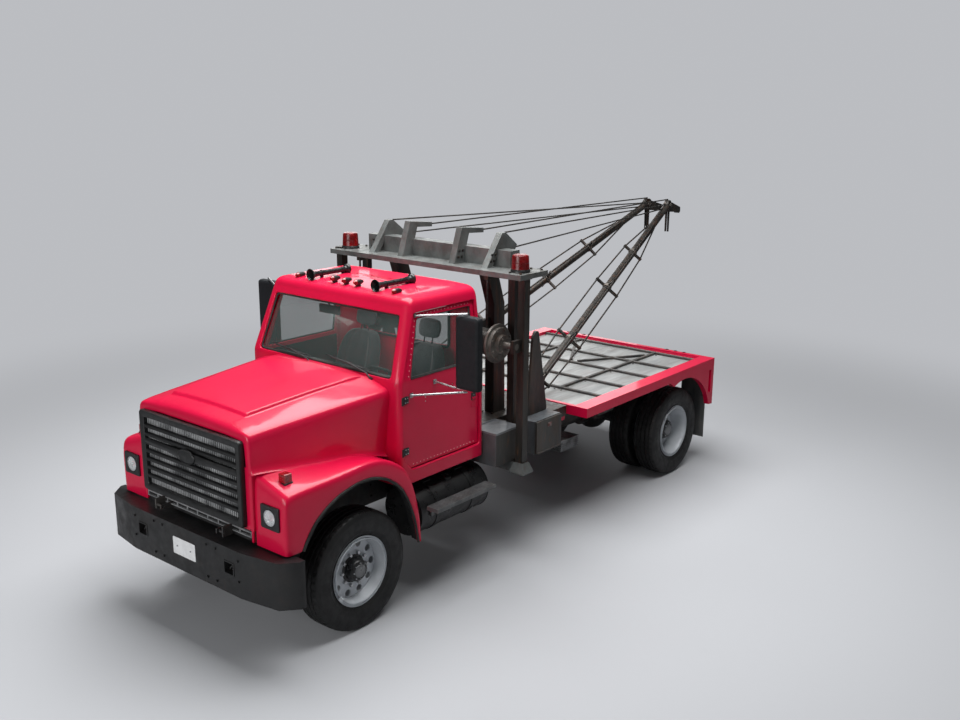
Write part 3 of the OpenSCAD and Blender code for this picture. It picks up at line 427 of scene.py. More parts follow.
#               x      half   edge   beside  panel  raise  foot z
hood_stations = [(-0.548, 0.850, 1.952, 2.018, 0.562, 0.0, 1.335),
                 (-0.538, 0.851, 1.953, 2.020, 0.562, 0.0, 1.340),
                 (-0.500, 0.848, 1.951, 2.020, 0.560, 0.0, 1.357),
                 (-0.470, 0.846, 1.949, 2.008, 0.560, 0.026, 1.367),
                 (-0.300, 0.832, 1.940, 2.000, 0.550, 0.028, 1.418),
                 (0.000, 0.806, 1.921, 1.984, 0.530, 0.028, 1.462),
                 (0.300, 0.780, 1.903, 1.960, 0.512, 0.028, 1.500),
                 (0.600, 0.754, 1.886, 1.933, 0.494, 0.028, 1.535),
                 (0.660, 0.747, 1.881, 1.927, 0.490, 0.028, 1.543),
                 (0.682, 0.746, 1.880, 1.925, 0.490, 0.026, 1.546),
                 (0.696, 0.745, 1.879, 1.924, 0.489, 0.001, 1.548),
                 (0.715, 0.744, 1.878, 1.923, 0.488, 0.0, 1.549),
                 (0.760, 0.739, 1.874, 1.917, 0.485, 0.0, 1.552),
                 (0.815, 0.733, 1.868, 1.906, 0.482, 0.0, 1.556),
                 (0.846, 0.729, 1.862, 1.888, 0.480, 0.0, 1.558),
                 (0.860, 0.722, 1.852, 1.872, 0.478, 0.0, 1.558)]


def hood_row(x, half, edge, beside, panel, lift, foot):
    side = 0.8 if x < 0.5 else 0.8 - (x - 0.5) * 0.17
    flare = 0.03
    return mirrored([(x, side + flare, foot - 0.004), (x, side + 0.008, foot + 0.014), (x, side - 0.004, foot + 0.05),
                     (x, half + 0.004 + (side - half) * 0.35, edge - 0.19), (x, half + 0.003, edge - 0.075),
                     (x, half - 0.003, edge - 0.03), (x, half - 0.022, edge - 0.004), (x, half - 0.065, edge + 0.012),
                     (x, panel + 0.07, edge + (beside - edge) * 0.80), (x, panel + 0.018, beside - 0.001),
                     (x, panel + 0.005, beside + lift * 0.03), (x, panel - 0.004, beside + lift * 0.93),
                     (x, panel - 0.016, beside + lift), (x, panel - 0.07, beside + lift + 0.003),
                     (x, panel * 0.5, beside + lift + 0.012), (x, 0, beside + lift + 0.016)])


hood_rows = [hood_row(*s) for s in hood_stations]
nose = hood_rows[-1]
for x, gap in ((0.864, 0.016), (0.864, 0.05), (0.858, 0.062), (0.80, 0.066)):
    hood_rows.append([(x, y * (1 - gap / 0.73) if z > 1.6 else math.copysign(abs(y) - gap, y),
                       min(z, 1.872) - gap * (1.0 if z > 1.8 else 0.4)) for _, y, z in nose])
hood_skin = settle("hood_skin", skin(hood_rows), "hood", paint, ("hood",), smooth=60)


def outward(o, towards):
    """Turns a sheet's faces so that the one nearest a point outside faces it."""
    b = bmesh.new()
    b.from_mesh(o.data)
    bmesh.ops.recalc_face_normals(b, faces=b.faces)
    b.faces.ensure_lookup_table()
    spot = Vector(towards) + Vector((FRONT_AXLE, 0, 0))
    face = min(b.faces, key=lambda f: (f.calc_center_median() - spot).length)
    if face.normal.dot(spot - face.calc_center_median()) < 0:
        bmesh.ops.reverse_faces(b, faces=b.faces)
    b.to_mesh(o.data)
    b.free()
    return o


outward(hood_skin, (0, 0, 3))
soften(hood_skin, 2, 0.004)

# fender: the crest and the arch edge as seen from the side, and the inner edge's place
#               crest x, z       arch x, z       inner x, y, z
fender_rows = [((0.836, 0.966), (0.684, 0.966), (0.836, 0.738, 0.966)),
               ((0.838, 1.080), (0.664, 1.000), (0.838, 0.738, 1.080)),
               ((0.838, 1.250), (0.636, 1.045), (0.838, 0.738, 1.250)),
               ((0.834, 1.370), (0.604, 1.085), (0.836, 0.738, 1.440)),
               ((0.815, 1.425), (0.572, 1.127), (0.824, 0.738, 1.525)),
               ((0.760, 1.449), (0.534, 1.170), (0.780, 0.745, 1.560)),
               ((0.500, 1.458), (0.424, 1.250), (0.500, 0.770, 1.540)),
               ((0.276, 1.466), (0.290, 1.314), (0.276, 0.770, 1.505)),
               ((0.080, 1.485), (0.090, 1.357), (0.100, 0.770, 1.480)),
               ((-0.083, 1.493), (-0.060, 1.355), (-0.083, 0.770, 1.460)),
               ((-0.205, 1.473), (-0.170, 1.326), (-0.215, 0.775, 1.435)),
               ((-0.308, 1.431), (-0.260, 1.287), (-0.320, 0.780, 1.405)),
               ((-0.400, 1.378), (-0.355, 1.222), (-0.415, 0.800, 1.372)),
               ((-0.481, 1.313), (-0.440, 1.140), (-0.487, 0.880, 1.325)),
               ((-0.540, 1.220), (-0.500, 1.040), (-0.538, 0.985, 1.225)),
               ((-0.577, 1.131), (-0.545, 0.940), (-0.574, 0.985, 1.131)),
               ((-0.615, 1.000), (-0.578, 0.850), (-0.612, 0.985, 1.000)),
               ((-0.648, 0.870), (-0.602, 0.762), (-0.645, 0.985, 0.870)),
               ((-0.664, 0.730), (-0.620, 0.672), (-0.661, 0.985, 0.730)),
               ((-0.672, 0.592), (-0.634, 0.592), (-0.669, 0.985, 0.592))]
fender_side = 1.1


def fender_section(crest, arch, inner, side):
    cx, cz = crest
    ax, az = arch
    ix, iy, iz = inner
    ease = 0.055

    def on_top(y):
        f = (y - iy) / (fender_side - iy)
        return ix + (cx - ix) * f, iz + (cz - iz) * f

    def down(f):
        return cx + (ax - cx) * f, cz + (az - cz) * f

    reach = math.hypot(cx - ax, cz - az)
    rows = [(iy, *on_top(iy)), (iy + (fender_side - iy) * 0.33, *on_top(iy + (fender_side - iy) * 0.33)),
            (fender_side - ease * 1.7, *on_top(fender_side - ease * 1.7)),
            (fender_side - ease * 0.75, *on_top(fender_side - ease * 0.75)),
            (fender_side - ease * 0.18, *down(min(0.3, ease * 0.2 / reach))),
            (fender_side, *down(min(0.45, ease * 0.95 / reach))), (fender_side, *down(0.8)),
            (fender_side - 0.002, *down(0.97)), (fender_side - 0.010, *down(1.0)), (fender_side - 0.034, *down(1.0))]
    return [(x, y * side, z) for y, x, z in rows]


fenders = bmesh.new()
for side in (1, -1):
    skin([fender_section(*row, side) for row in fender_rows], into=fenders)
fenders = settle("fender_skins", fenders, "hood", paint, ("fenders",), smooth=60)
b = bmesh.new()
b.from_mesh(fenders.data)
bmesh.ops.recalc_face_normals(b, faces=b.faces)
for island_side in (1, -1):
    island = [f for f in b.faces if f.calc_center_median().y * island_side > 0]
    widest = max(island, key=lambda f: abs(f.calc_center_median().y))
    if widest.normal.y * island_side < 0:
        bmesh.ops.reverse_faces(b, faces=island)
b.to_mesh(fenders.data)
b.free()
soften(fenders, 2, 0.004)


# ---------- front valance, hinge lugs and arch liners ----------
# A riveted red lip over a silver vent strip closes the nose, on the lugs that
# the front turns on; black liners and a rubber lip finish each wheel arch.
black_moulding = finish("black moulding", (0.010, 0.010, 0.011), 0.5, second=(0.016, 0.016, 0.017), dust=0.03)
rubber = finish("black rubber", (0.012, 0.012, 0.012), 0.72, dust=0.18, bump=0.4, grain=320)


def around(count, start=0.0):
    """Angles round a circle, an even step apart."""
    return [2 * math.pi * (i + start) / count for i in range(count)]


def block(b, low, high):
    """A closed box between two opposite corners, given in either order."""
    low, high = zip(*(sorted(pair) for pair in zip(low, high)))
    corners = [b.verts.new((x, y, z)) for x in (low[0], high[0]) for y in (low[1], high[1]) for z in (low[2], high[2])]
    for face in ((0, 1, 3, 2), (4, 6, 7, 5), (0, 4, 5, 1), (2, 3, 7, 6), (0, 2, 6, 4), (1, 5, 7, 3)):
        b.faces.new([corners[i] for i in face])
    return b


def rod(b, start, end, radius, sides=16, end_radius=None):
    """A closed round bar from one point to another."""
    start, end = Vector(start), Vector(end)
    along = (end - start).normalized()
    out = along.orthogonal().normalized()
    up = along.cross(out)
    rings = [[b.verts.new(p + r * (math.cos(a) * out + math.sin(a) * up))
              for a in around(sides)]
             for p, r in ((start, radius), (end, radius if end_radius is None else end_radius))]
    for i in range(sides):
        j = (i + 1) % sides
        b.faces.new((rings[0][i], rings[0][j], rings[1][j], rings[1][i]))
    b.faces.new(rings[0][::-1])
    b.faces.new(rings[1])
    return b


def turned(b, profile, centre, along=(0, 1, 0), sides=48, closed=False):
    """A lathe-turned form: a row of (distance along the axis, radius) swept round it."""
    along = Vector(along).normalized()
    out = along.orthogonal().normalized()
    up = along.cross(out)
    centre = Vector(centre)
    rings = []
    for place, radius in profile:
        if radius < 1e-5:
            rings.append([b.verts.new(centre + along * place)])
        else:
            rings.append([b.verts.new(centre + along * place + radius * (math.cos(a) * out + math.sin(a) * up))
                          for a in around(sides)])
    pairs = list(zip(rings, rings[1:])) + ([(rings[-1], rings[0])] if closed else [])
    for low, high in pairs:
        for i in range(sides):
            j = (i + 1) % sides
            if len(low) == 1:
                b.faces.new((low[0], high[j], high[i]))
            elif len(high) == 1:
                b.faces.new((low[i], low[j], high[0]))
            else:
                b.faces.new((low[i], low[j], high[j], high[i]))
    return b


def tube(b, path, radius, sides=10, closed=False):
    """A round bar bent along a row of points."""
    path = [Vector(p) for p in path]
    count = len(path)
    rings, out = [], None
    for i, p in enumerate(path):
        if closed:
            along = (path[(i + 1) % count] - path[i - 1]).normalized()
        else:
            along = (path[min(i + 1, count - 1)] - path[max(i - 1, 0)]).normalized()
        out = along.orthogonal() if out is None else out - along * out.dot(along)
        out.normalize()
        up = along.cross(out)
        rings.append([b.verts.new(p + radius * (math.cos(a) * out + math.sin(a) * up))
                      for a in around(sides)])
    for low, high in list(zip(rings, rings[1:])) + ([(rings[-1], rings[0])] if closed else []):
        for k in range(sides):
            j = (k + 1) % sides
            b.faces.new((low[k], low[j], high[j], high[k]))
    if not closed:
        b.faces.new(rings[0][::-1])
        b.faces.new(rings[-1])
    return b


def rounded(corners, radius, steps=5):
    """A row of points through the corners, with each corner rounded off. The row closes on itself."""
    out = []
    corners = [Vector(c) for c in corners]
    for i, c in enumerate(corners):
        before, after = corners[i - 1] - c, corners[(i + 1) % len(corners)] - c
        r = min(radius, before.length * 0.45, after.length * 0.45)
        start, end = c + before.normalized() * r, c + after.normalized() * r
        for k in range(steps + 1):
            f = k / steps
            out.append(start * (1 - f) ** 2 + c * 2 * f * (1 - f) + end * f ** 2)
    return out


def both_sides(make):
    """Runs a maker for the left side (1) and the right side (-1), into one mesh."""
    b = bmesh.new()
    for side in (1, -1):
        make(b, side)
    return faced(b)


b = bmesh.new()
block(b, (0.835, -0.737, 1.082), (0.859, 0.737, 1.112))
for y in (-0.725, 0.705):
    block(b, (0.836, y, 0.985), (0.858, y + 0.02, 1.090))
settle("valance", b, "hood", paint, bevel=0.004)
place_instances("valance_rivets", [((0.859, -0.70 + 0.05 * i, 1.096), (1, 0, 0)) for i in range(29)], "dome",
                (0.005, 0, 0),
                black_moulding, "hood")
slot_silver = finish("vent strip", (0.42, 0.43, 0.44), 0.35, metal=0.5, second=(0.26, 0.27, 0.28), scale=9, dust=0.1)
b = bmesh.new()
for z in (1.022, 1.062):
    block(b, (0.836, -0.70, z - 0.005), (0.856, 0.70, z + 0.005))
for i in range(11):
    y = -0.70 + 0.139 * i
    block(b, (0.836, y - 0.006, 1.02), (0.852, y + 0.006, 1.064))
settle("vent_strip", b, "hood", slot_silver, bevel=0.0015)
b = bmesh.new()
for side in (1, -1):
    rows = []
    for x, out in ((0.800, 0.741), (0.846, 0.741), (0.858, 0.737), (0.864, 0.728), (0.864, 0.64)):
        rows.append([(x, side * out, z) for z in (1.098, 1.11, 1.30, 1.50, 1.60)])
    skin(rows, into=b)
soften(settle("nose_sides", faced(b), "hood", paint, smooth=50), 2, 0.004)
b = bmesh.new()
block(b, (0.826, -0.73, 0.98), (0.834, 0.73, 1.11))
for y in (-0.45, 0.45):
    block(b, (0.82, y - 0.14, 1.01), (0.8335, y + 0.14, 1.07))
settle("valance_back", b, "hood", black_moulding)


def hinge_lug(b, side):
    block(b, (0.850, side * 0.452 - 0.008, 0.985), (0.948, side * 0.452 + 0.008, 1.075))
    rod(b, (0.93, side * 0.40, 1.02), (0.93, side * 0.462, 1.02), 0.012)


settle("hood_hinge_lugs", both_sides(hinge_lug), "hood", chassis_black, bevel=0.003)


def arch_points(inset):
    """The arch edge, moved in towards the wheel's hub side by an amount."""
    return [(a[0] - (a[0] - 0.02) * inset, a[1] - (a[1] - 0.62) * inset) for _, a, _ in fender_rows]


def arch_lip(b, side):
    rows = []
    for y, inset in ((1.094, -0.004), (1.103, 0.004), (1.103, 0.028), (1.090, 0.030), (1.082, 0.006)):
        rows.append([(x, side * y, z) for x, z in arch_points(inset)])
    rows.append(rows[0])
    skin(rows, into=b)


settle("arch_lips", both_sides(arch_lip), "hood", rubber, smooth=50)


def arch_liner(b, side):
    rows = []
    for y, inset in ((1.080, -0.012), (1.02, -0.03), (0.90, -0.035), (0.80, -0.03)):
        rows.append([(x, side * (y if k < 13 else max(y, 0.985)), z)
                     for k, (x, z) in enumerate(arch_points(inset)) if k > 2])
    skin(rows, into=b)


soften(settle("arch_liners", both_sides(arch_liner), "hood", black_moulding, smooth=60), 1, 0.003)


# ---------- cab shell ----------
# A welded steel cab in the same red gloss, hollow, with rounded pillars and
# a crowned roof. The doors close into it with a narrow even gap.
screen_foot, screen_rise, screen_lean, cowl_x = 2.015, 0.595, 0.21, -0.56
cab_half, side_lean = 0.95, math.tan(math.radians(7.6))


def side_y(z):
    """How far out the cab's side is at a height."""
    return cab_half - max(0.0, z - screen_foot) * side_lean


def front_x(z):
    """Where the cab's front is at a height: upright, then leaning back with the windscreen."""
    return cowl_x - screen_lean * max(0.0, z - screen_foot) / screen_rise


def door_front(z):
    if z < 1.33:
        return -0.590 - (1.33 - z) * 0.93
    return -0.590 - max(0.0, z - screen_foot) * 0.391


cab_rear, gap = -1.645, 0.0035
window_top = 2.548


def cab_row(z, inset=0.0):
    front, half = front_x(min(z, 2.61)) - inset, side_y(min(z, 2.61)) - inset
    door_edge = min(door_front(z) + gap + 0.004, front - 0.028) - inset * 0.3
    screen = 0.865 - max(0.0, z - 2.02) * 0.112
    rear = cab_rear + inset
    half_row = [(front - 0.004, 0.0), (front - 0.002, 0.45), (front - 0.001, screen - 0.06 - inset),
                (front, screen - inset),
                (front, half - 0.034), (front - 0.010, half - 0.010), (front - 0.026, half - 0.001),
                (door_edge, half), (door_edge - 0.05, half), (-1.05, half), (-1.55, half), (-1.604, half),
                (-1.622, half - 0.001), (rear + 0.007, half - 0.008), (rear, half - 0.03), (rear, 0.60 - inset),
                (rear, 0.55 - inset),
                (rear, 0.3), (rear, 0.0)]
    return [(x, y, z) for x, y in half_row] + [(x, -y, z) for x, y in reversed(half_row[1:-1])]


cab_levels = [1.092, 1.100, 1.16, 1.2185 - gap, 1.26, 1.33, 1.45, 1.95, 2.004, 2.030, 2.075, 2.10, 2.30, 2.42, 2.47,
              2.520, window_top, 2.5685 + gap, 2.590]
rows = [cab_row(z) for z in cab_levels]
for z, inset in ((2.612, 0.0015), (2.640, 0.008), (2.662, 0.024), (2.676, 0.050), (2.683, 0.10), (2.689, 0.24),
                 (2.692, 0.42)):
    rows.append(cab_row(z, inset))
b = skin(rows, closed=True)
b.verts.ensure_lookup_table()
per_row = len(rows[0])
half_count = 19
last = [b.verts[(len(rows) - 1) * per_row + i] for i in range(per_row)]
for i in range(half_count - 1):                      # the roof's middle, as strips from side to side
    left_pair = (last[i], last[i + 1])
    right_pair = (last[-(i + 1) % per_row], last[-i % per_row])
    face = []
    for v in (*left_pair, *right_pair):
        if v not in face:
            face.append(v)
    if len(face) > 2:
        b.faces.new(face)
windows = []
for f in b.faces:
    c = f.calc_center_median()
    in_screen = c.x > -0.80 and 2.030 < c.z < window_top and abs(c.y) < 0.865 - (c.z - 2.02) * 0.112
    f.normal_update()
    if in_screen and f.normal.x * f.normal.x > 0.5:
        windows.append(f)
    elif abs(f.normal.y) > 0.8 and door_front(c.z) > c.x > -1.604 and 1.2185 < c.z < 2.5685 and abs(c.y) > 0.8:
        windows.append(f)
    elif f.normal.x ** 2 > 0.8 and c.x < -1.6 and 2.075 < c.z < 2.47 and abs(c.y) < 0.56:
        windows.append(f)
bmesh.ops.delete(b, geom=windows, context="FACES")
bmesh.ops.recalc_face_normals(b, faces=b.faces)
roof = max(b.faces, key=lambda f: f.calc_center_median().z)
if roof.normal.z < 0:
    bmesh.ops.reverse_faces(b, faces=b.faces)
cab = settle("cab_shell", b, "chassis", paint, ("cab_sides", "cab_roof", "cab_cowl", "cab_back"),
             smooth=60)
soften(cab, 2, 0.022)


# ---------- doors, their hinges and handles ----------
# Each door is one pressed skin with its window frame, hung on two black
# strap hinges at the front and opened by a flush black pull at the rear.
sill, glass_top = 2.023, 2.522
hinge_x, hinge_y, hinge_heights = -0.58, 0.964, (1.39, 1.85)
door_levels = [1.222, 1.229, 1.26, 1.33, 1.40, 1.62, 1.93, 1.995, sill, 2.05, 2.09, 2.30, 2.46, 2.497, glass_top, 2.545,
               2.560, 2.5655]


def window_front(z):
    return -0.695 - max(0.0, z - sill) * 0.309


def door_columns(z):
    edge = door_front(z) - 0.0015
    frame = min(window_front(z), edge - 0.045)
    return [edge, edge - 0.006, edge - 0.022, frame, frame - 0.028, frame - 0.075, -1.10, -1.46, -1.525, -1.555, -1.578,
            -1.594, -1.6005]


for name, side in (("left", 1), ("right", -1)):
    rows = []
    for z in door_levels:
        columns = door_columns(z)
        rows.append([(x, side * (side_y(z) + (0.0035 if 0 < k < len(columns) - 1 and 1.223 < z < 2.565 else 0.0)), z)
                     for k, x in enumerate(columns)])
    b = skin(rows)
    gone = [f for f in b.faces if sill < f.calc_center_median().z < glass_top
            and -1.555 < f.calc_center_median().x < window_front(f.calc_center_median().z)]
    bmesh.ops.delete(b, geom=gone, context="FACES")
    bmesh.ops.recalc_face_normals(b, faces=b.faces)
    b.faces.ensure_lookup_table()
    if b.faces[0].normal.y * side < 0:
        bmesh.ops.reverse_faces(b, faces=b.faces)
    skin_piece = settle("door_skin_" + name, b, "door_" + name, paint, ("door_" + name,), smooth=50)
    soften(skin_piece, 2, 0.040)

    b = bmesh.new()                                   # inner trim, so that the door looks whole from inside
    rows = [[(x, side * (side_y(z) - 0.041 - bulge), z) for x, bulge in
             ((-0.66, 0), (-0.70, 0.012), (-1.1, 0.014), (-1.52, 0.012),
              (-1.57, 0))] for z in (1.27, 1.34, 1.6, 1.9, 1.99)]
    skin(rows, into=b)
    soften(settle("door_trim_" + name, faced(b), "door_" + name, black_moulding, smooth=50), 1, 0.003)

    b = bmesh.new()                                   # the door's half of each hinge, and the pull
    for z in hinge_heights:
        rod(b, (hinge_x, side * hinge_y, z - 0.02), (hinge_x, side * hinge_y, z + 0.02), 0.011)
        block(b, (-0.662, side * 0.9525, z - 0.033), (-0.600, side * 0.9625, z + 0.033))
        block(b, (-0.602, side * 0.9545, z - 0.018), (-0.582, side * 0.9605, z + 0.018))
    block(b, (-1.562, side * 0.9525, 1.655), (-1.498, side * 0.9585, 1.725))
    settle("door_fittings_" + name, b, "door_" + name, black_moulding, bevel=0.003)
    b = bmesh.new()
    block(b, (-1.552, side * 0.957, 1.664), (-1.508, side * 0.9655, 1.682))
    tube(b, rounded([(-1.50, side * 0.9545, 1.640), (-1.50, side * 0.9545, 1.585), (-1.575, side * 0.9545, 1.585),
                     (-1.575, side * 0.9545, 1.640)], 0.010), 0.0025, 6, closed=True)
    settle("door_pull_" + name, b, "door_" + name, paint, bevel=0.002)
    bright = bpy.data.materials.get("bright steel") or finish("bright steel", (0.52, 0.53, 0.54), 0.28, metal=0.9,
                                                             second=(0.42, 0.43, 0.44), scale=9)
    screws = [((x, side * 0.9625, z + dz), (0, side, 0)) for z in hinge_heights for x in (-0.645, -0.618)
              for dz in (-0.018, 0.018)] + [((-1.53, side * 0.959, 1.702), (0, side, 0))]
    place_instances("door_screws_" + name, screws, 12, (0.006, 0.004, 0), bright, "door_" + name)
    rivets = [((window_front(z) + 0.026, side * (side_y(z) + 0.0035), z), (0, side, 0.12))
              for z in spaced(2.05, 0.045, 11)]
    rivets += [((x, side * (side_y(2.548) + 0.003), 2.548), (0, side, 0.12)) for x in spaced(-0.90, -0.045, 15)]
    rivets += [((x, side * 0.9535, 1.252), (0, side, 0)) for x in spaced(-0.72, -0.045, 19)]
    # The rivet heads' pale pink is a painted highlight. It stands for the glints along the seams, not for wear.
    rivet_glint_paint = bpy.data.materials.get("rivet heads painted glint") or finish("rivet heads painted glint", (0.80, 0.34, 0.38), 0.30,
                                                                       second=(0.70, 0.26, 0.30), scale=9)
    place_instances("door_rivets_" + name, rivets, "dome", (0.0050, 0, 0), rivet_glint_paint, "door_" + name)


def cab_hinge_half(b, side):
    for z in hinge_heights:
        for low, high in ((z + 0.0205, z + 0.036), (z - 0.036, z - 0.0205)):
            rod(b, (hinge_x, side * hinge_y, low), (hinge_x, side * hinge_y, high), 0.011)
            block(b, (-0.582, side * 0.947, low), (-0.562, side * 0.957, high))


settle("cab_hinge_halves", both_sides(cab_hinge_half), "chassis", black_moulding)
# Rivet domes along the roof gutter, the windscreen pillar and the cab's rear corner, in the same painted highlight for
# the seams' glints.
gutter = both([((x, side_y(2.59) + 0.001, 2.592), (0, 1, 0.14)) for x in spaced(-0.83, -0.045, 17)]
              + [((front_x(z) - 0.022, side_y(z), z), (0, 1, 0.12)) for z in spaced(2.06, 0.045, 11)]
              + [((-1.622, side_y(z), z), (0, 1, 0)) for z in spaced(1.24, 0.045, 29)])
place_instances("cab_rivets", gutter, "dome", (0.0050, 0, 0), rivet_glint_paint, "chassis")


# ---------- windows, gaskets and wipers ----------
# Lightly tinted flat glass in black rubber gaskets; two black wipers are
# parked low on the windscreen, and a mirror hangs inside at the top of it.
def glass_finish(name, tint, cover):
    m = bpy.data.materials.new(name)
    m.use_nodes = True
    t = m.node_tree
    shader = t.nodes["Principled BSDF"]
    shader.inputs["Roughness"].default_value = 0.06
    shader.inputs["Alpha"].default_value = cover
    place = t.nodes.new("ShaderNodeTexCoord")
    film = t.nodes.new("ShaderNodeTexNoise")
    film.inputs["Scale"].default_value = 2.5
    mix = t.nodes.new("ShaderNodeMix")
    mix.data_type = "RGBA"
    mix.inputs[6].default_value = (*tint, 1)
    mix.inputs[7].default_value = (*[c * 1.25 for c in tint], 1)
    t.links.new(place.outputs["Object"], film.inputs["Vector"])
    t.links.new(film.outputs["Fac"], mix.inputs[0])
    t.links.new(mix.outputs[2], shader.inputs["Base Color"])
    return m


tinted = glass_finish("tinted glass", (0.075, 0.105, 0.098), 0.26)
for node_name in ("cab_glass", "door_glass_left", "door_glass_right"):
    node = frame["nodes"][node_name]
    node.data.materials.clear()
    node.data.materials.append(tinted)


def on_screen(up, y, proud=0.0):
    """A point on the windscreen: up its slope from the cowl, across, and out from the glass."""
    lean = math.atan2(screen_lean, screen_rise)
    return (cowl_x - up * math.sin(lean) + proud * math.cos(lean), y,
            screen_foot + up * math.cos(lean) + proud * math.sin(lean))


b = bmesh.new()
tube(b, rounded([on_screen(0.026, 0.862), on_screen(0.026, -0.862), on_screen(0.562, -0.806), on_screen(0.562, 0.806)],
                0.05, 8), 0.011, 8, closed=True)
tube(b, rounded([(-1.632, 0.565, 2.067), (-1.632, -0.565, 2.067), (-1.632, -0.565, 2.477), (-1.632, 0.565, 2.477)],
                0.04, 6), 0.012, 8, closed=True)
settle("window_gaskets", b, "chassis", rubber, smooth=60)
for name, side in (("left", 1), ("right", -1)):
    b = bmesh.new()
    corners = [(window_front(sill) - 0.004, sill + 0.004), (window_front(glass_top) - 0.006, glass_top - 0.003),
               (-1.551, glass_top - 0.003), (-1.551, sill + 0.004)]
    tube(b, rounded([(x, side * (side_y(z) - 0.012), z) for x, z in corners], 0.03, 6), 0.009, 8, closed=True)
    tube(b, [(-0.70, side * 0.951, 2.022), (-1.55, side * 0.951, 2.022)], 0.006, 8)
    settle("door_gasket_" + name, b, "door_" + name, rubber, smooth=60)

b = bmesh.new()
for start, end in ((0.60, 0.02), (-0.16, -0.72)):      # blades, sprung bridges and arms
    for inset, radius, proud in ((0.0, 0.0045, 0.012), (0.12, 0.006, 0.021)):
        a, c = start - inset * 0.6, end + inset * 0.6
        tube(b, [on_screen(0.050 + (a - y) * 0.085, y, proud) for y in [a + (c - a) * i / 8 for i in range(9)]], radius,
             8)
    middle = (start + end) / 2
    tube(b, [on_screen(-0.02, start + 0.04, 0.024), on_screen(0.02, start - 0.02, 0.034),
             on_screen(0.050 + (start - middle) * 0.085, middle, 0.030)], 0.007, 8)
    rod(b, on_screen(-0.02, start + 0.04, -0.01), on_screen(-0.02, start + 0.04, 0.034), 0.016)
settle("wipers", b, "chassis", black_moulding, smooth=50)
b = bmesh.new()
tube(b, rounded([(-0.80, -0.03, 2.43), (-0.80, -0.27, 2.43), (-0.80, -0.27, 2.50), (-0.80, -0.03, 2.50)], 0.03, 5)[:1] +
     [(-0.80, -0.03, 2.46), (-0.80, -0.27, 2.46)], 0.006, 8)
block(b, (-0.815, -0.28, 2.425), (-0.785, -0.02, 2.505))
rod(b, (-0.80, -0.15, 2.50), (-0.775, -0.15, 2.60), 0.009)
settle("inside_mirror", b, "chassis", black_moulding, bevel=0.012, segments=3)


# ---------- seats, dash, floor and steering wheel ----------
# Two high-backed bucket seats in dark woven cloth with bolsters, headrests
# and piping, behind a moulded black dash with a hooded binnacle.
cloth = finish("seat cloth", (0.030, 0.036, 0.038), 0.86, second=(0.045, 0.052, 0.054), scale=14, bump=0.6, grain=520)
cloth.node_tree.nodes["Principled BSDF"].inputs["Sheen Weight"].default_value = 0.35
for seat_number, y0 in enumerate((0.42, -0.42)):
    def pad(rows):
        b = skin(rows, closed=True)
        b.verts.ensure_lookup_table()
        count = len(rows[0])
        b.faces.new([b.verts[i] for i in range(count)][::-1])
        b.faces.new([b.verts[(len(rows) - 1) * count + i] for i in range(count)])
        return faced(b)

    cushion = []                                      # front to back: a seat section with raised side bolsters
    for x, top, half in ((-0.93, 1.470, 0.235), (-0.94, 1.535, 0.250), (-0.98, 1.570, 0.258), (-1.10, 1.560, 0.262),
                         (-1.25, 1.545, 0.262), (-1.36, 1.545, 0.255), (-1.39, 1.50, 0.24)):
        low = 1.42
        cushion.append([(x, y0 + sy, z) for sy, z in (
            (-half, low), (-half - 0.008, (low + top) / 2), (-half + 0.012, top + 0.018), (-half + 0.055, top + 0.030),
            (-half + 0.098, top + 0.002), (-half + 0.112, top - 0.010), (-0.07, top + 0.006), (0, top - 0.004),
            (0.07, top + 0.006), (half - 0.112, top - 0.010), (half - 0.098, top + 0.002), (half - 0.055, top + 0.030),
            (half - 0.012, top + 0.018), (half + 0.008, (low + top) / 2), (half, low))])
    back = []
    for up, half, out in ((0.0, 0.235, 0.05), (0.03, 0.250, 0.085), (0.14, 0.258, 0.095), (0.30, 0.255, 0.088),
                          (0.42, 0.240, 0.080), (0.50, 0.205, 0.070), (0.545, 0.165, 0.050), (0.56, 0.12, 0.03)):
        x, z = -1.345 - up * 0.27, 1.555 + up
        back.append([(x + dx, y0 + sy, z) for sy, dx in (
            (-half, -0.045), (-half - 0.006, 0.02), (-half + 0.014, out), (-half + 0.050, out + 0.016),
            (-half * 0.62, out - 0.010), (-half * 0.56, out - 0.024), (-half * 0.28, out - 0.008), (0, out - 0.016),
            (half * 0.28, out - 0.008), (half * 0.56, out - 0.024), (half * 0.62, out - 0.010),
            (half - 0.050, out + 0.016),
            (half - 0.014, out), (half + 0.006, 0.02), (half, -0.045), (half * 0.5, -0.065), (-half * 0.5, -0.065))])
    head = []
    for up, half, out in ((0.0, 0.10, 0.028), (0.02, 0.130, 0.045), (0.08, 0.140, 0.052), (0.14, 0.132, 0.048),
                          (0.175, 0.105, 0.032)):
        x, z = -1.515 - up * 0.2, 2.165 + up
        head.append([(x + math.cos(a) * out, y0 + math.sin(a) * half, z) for a in around(14)])
    for part, rows in (("cushion", cushion), ("back", back), ("headrest", head)):
        piece = settle("seat_%s_%d" % (part, seat_number), pad(rows), "chassis", cloth,
                       ("seats",) if part == "cushion" else (), smooth=180)
        soften(piece, 2)
    b = bmesh.new()
    block(b, (-1.37, y0 - 0.22, 1.16), (-0.97, y0 + 0.22, 1.40))
    block(b, (-1.40, y0 - 0.25, 1.385), (-0.95, y0 + 0.25, 1.435))
    for sy in (-0.05, 0.05):
        rod(b, (-1.49, y0 + sy, 2.08), (-1.518, y0 + sy, 2.18), 0.007)
    settle("seat_base_%d" % seat_number, b, "chassis", black_moulding, bevel=0.012)

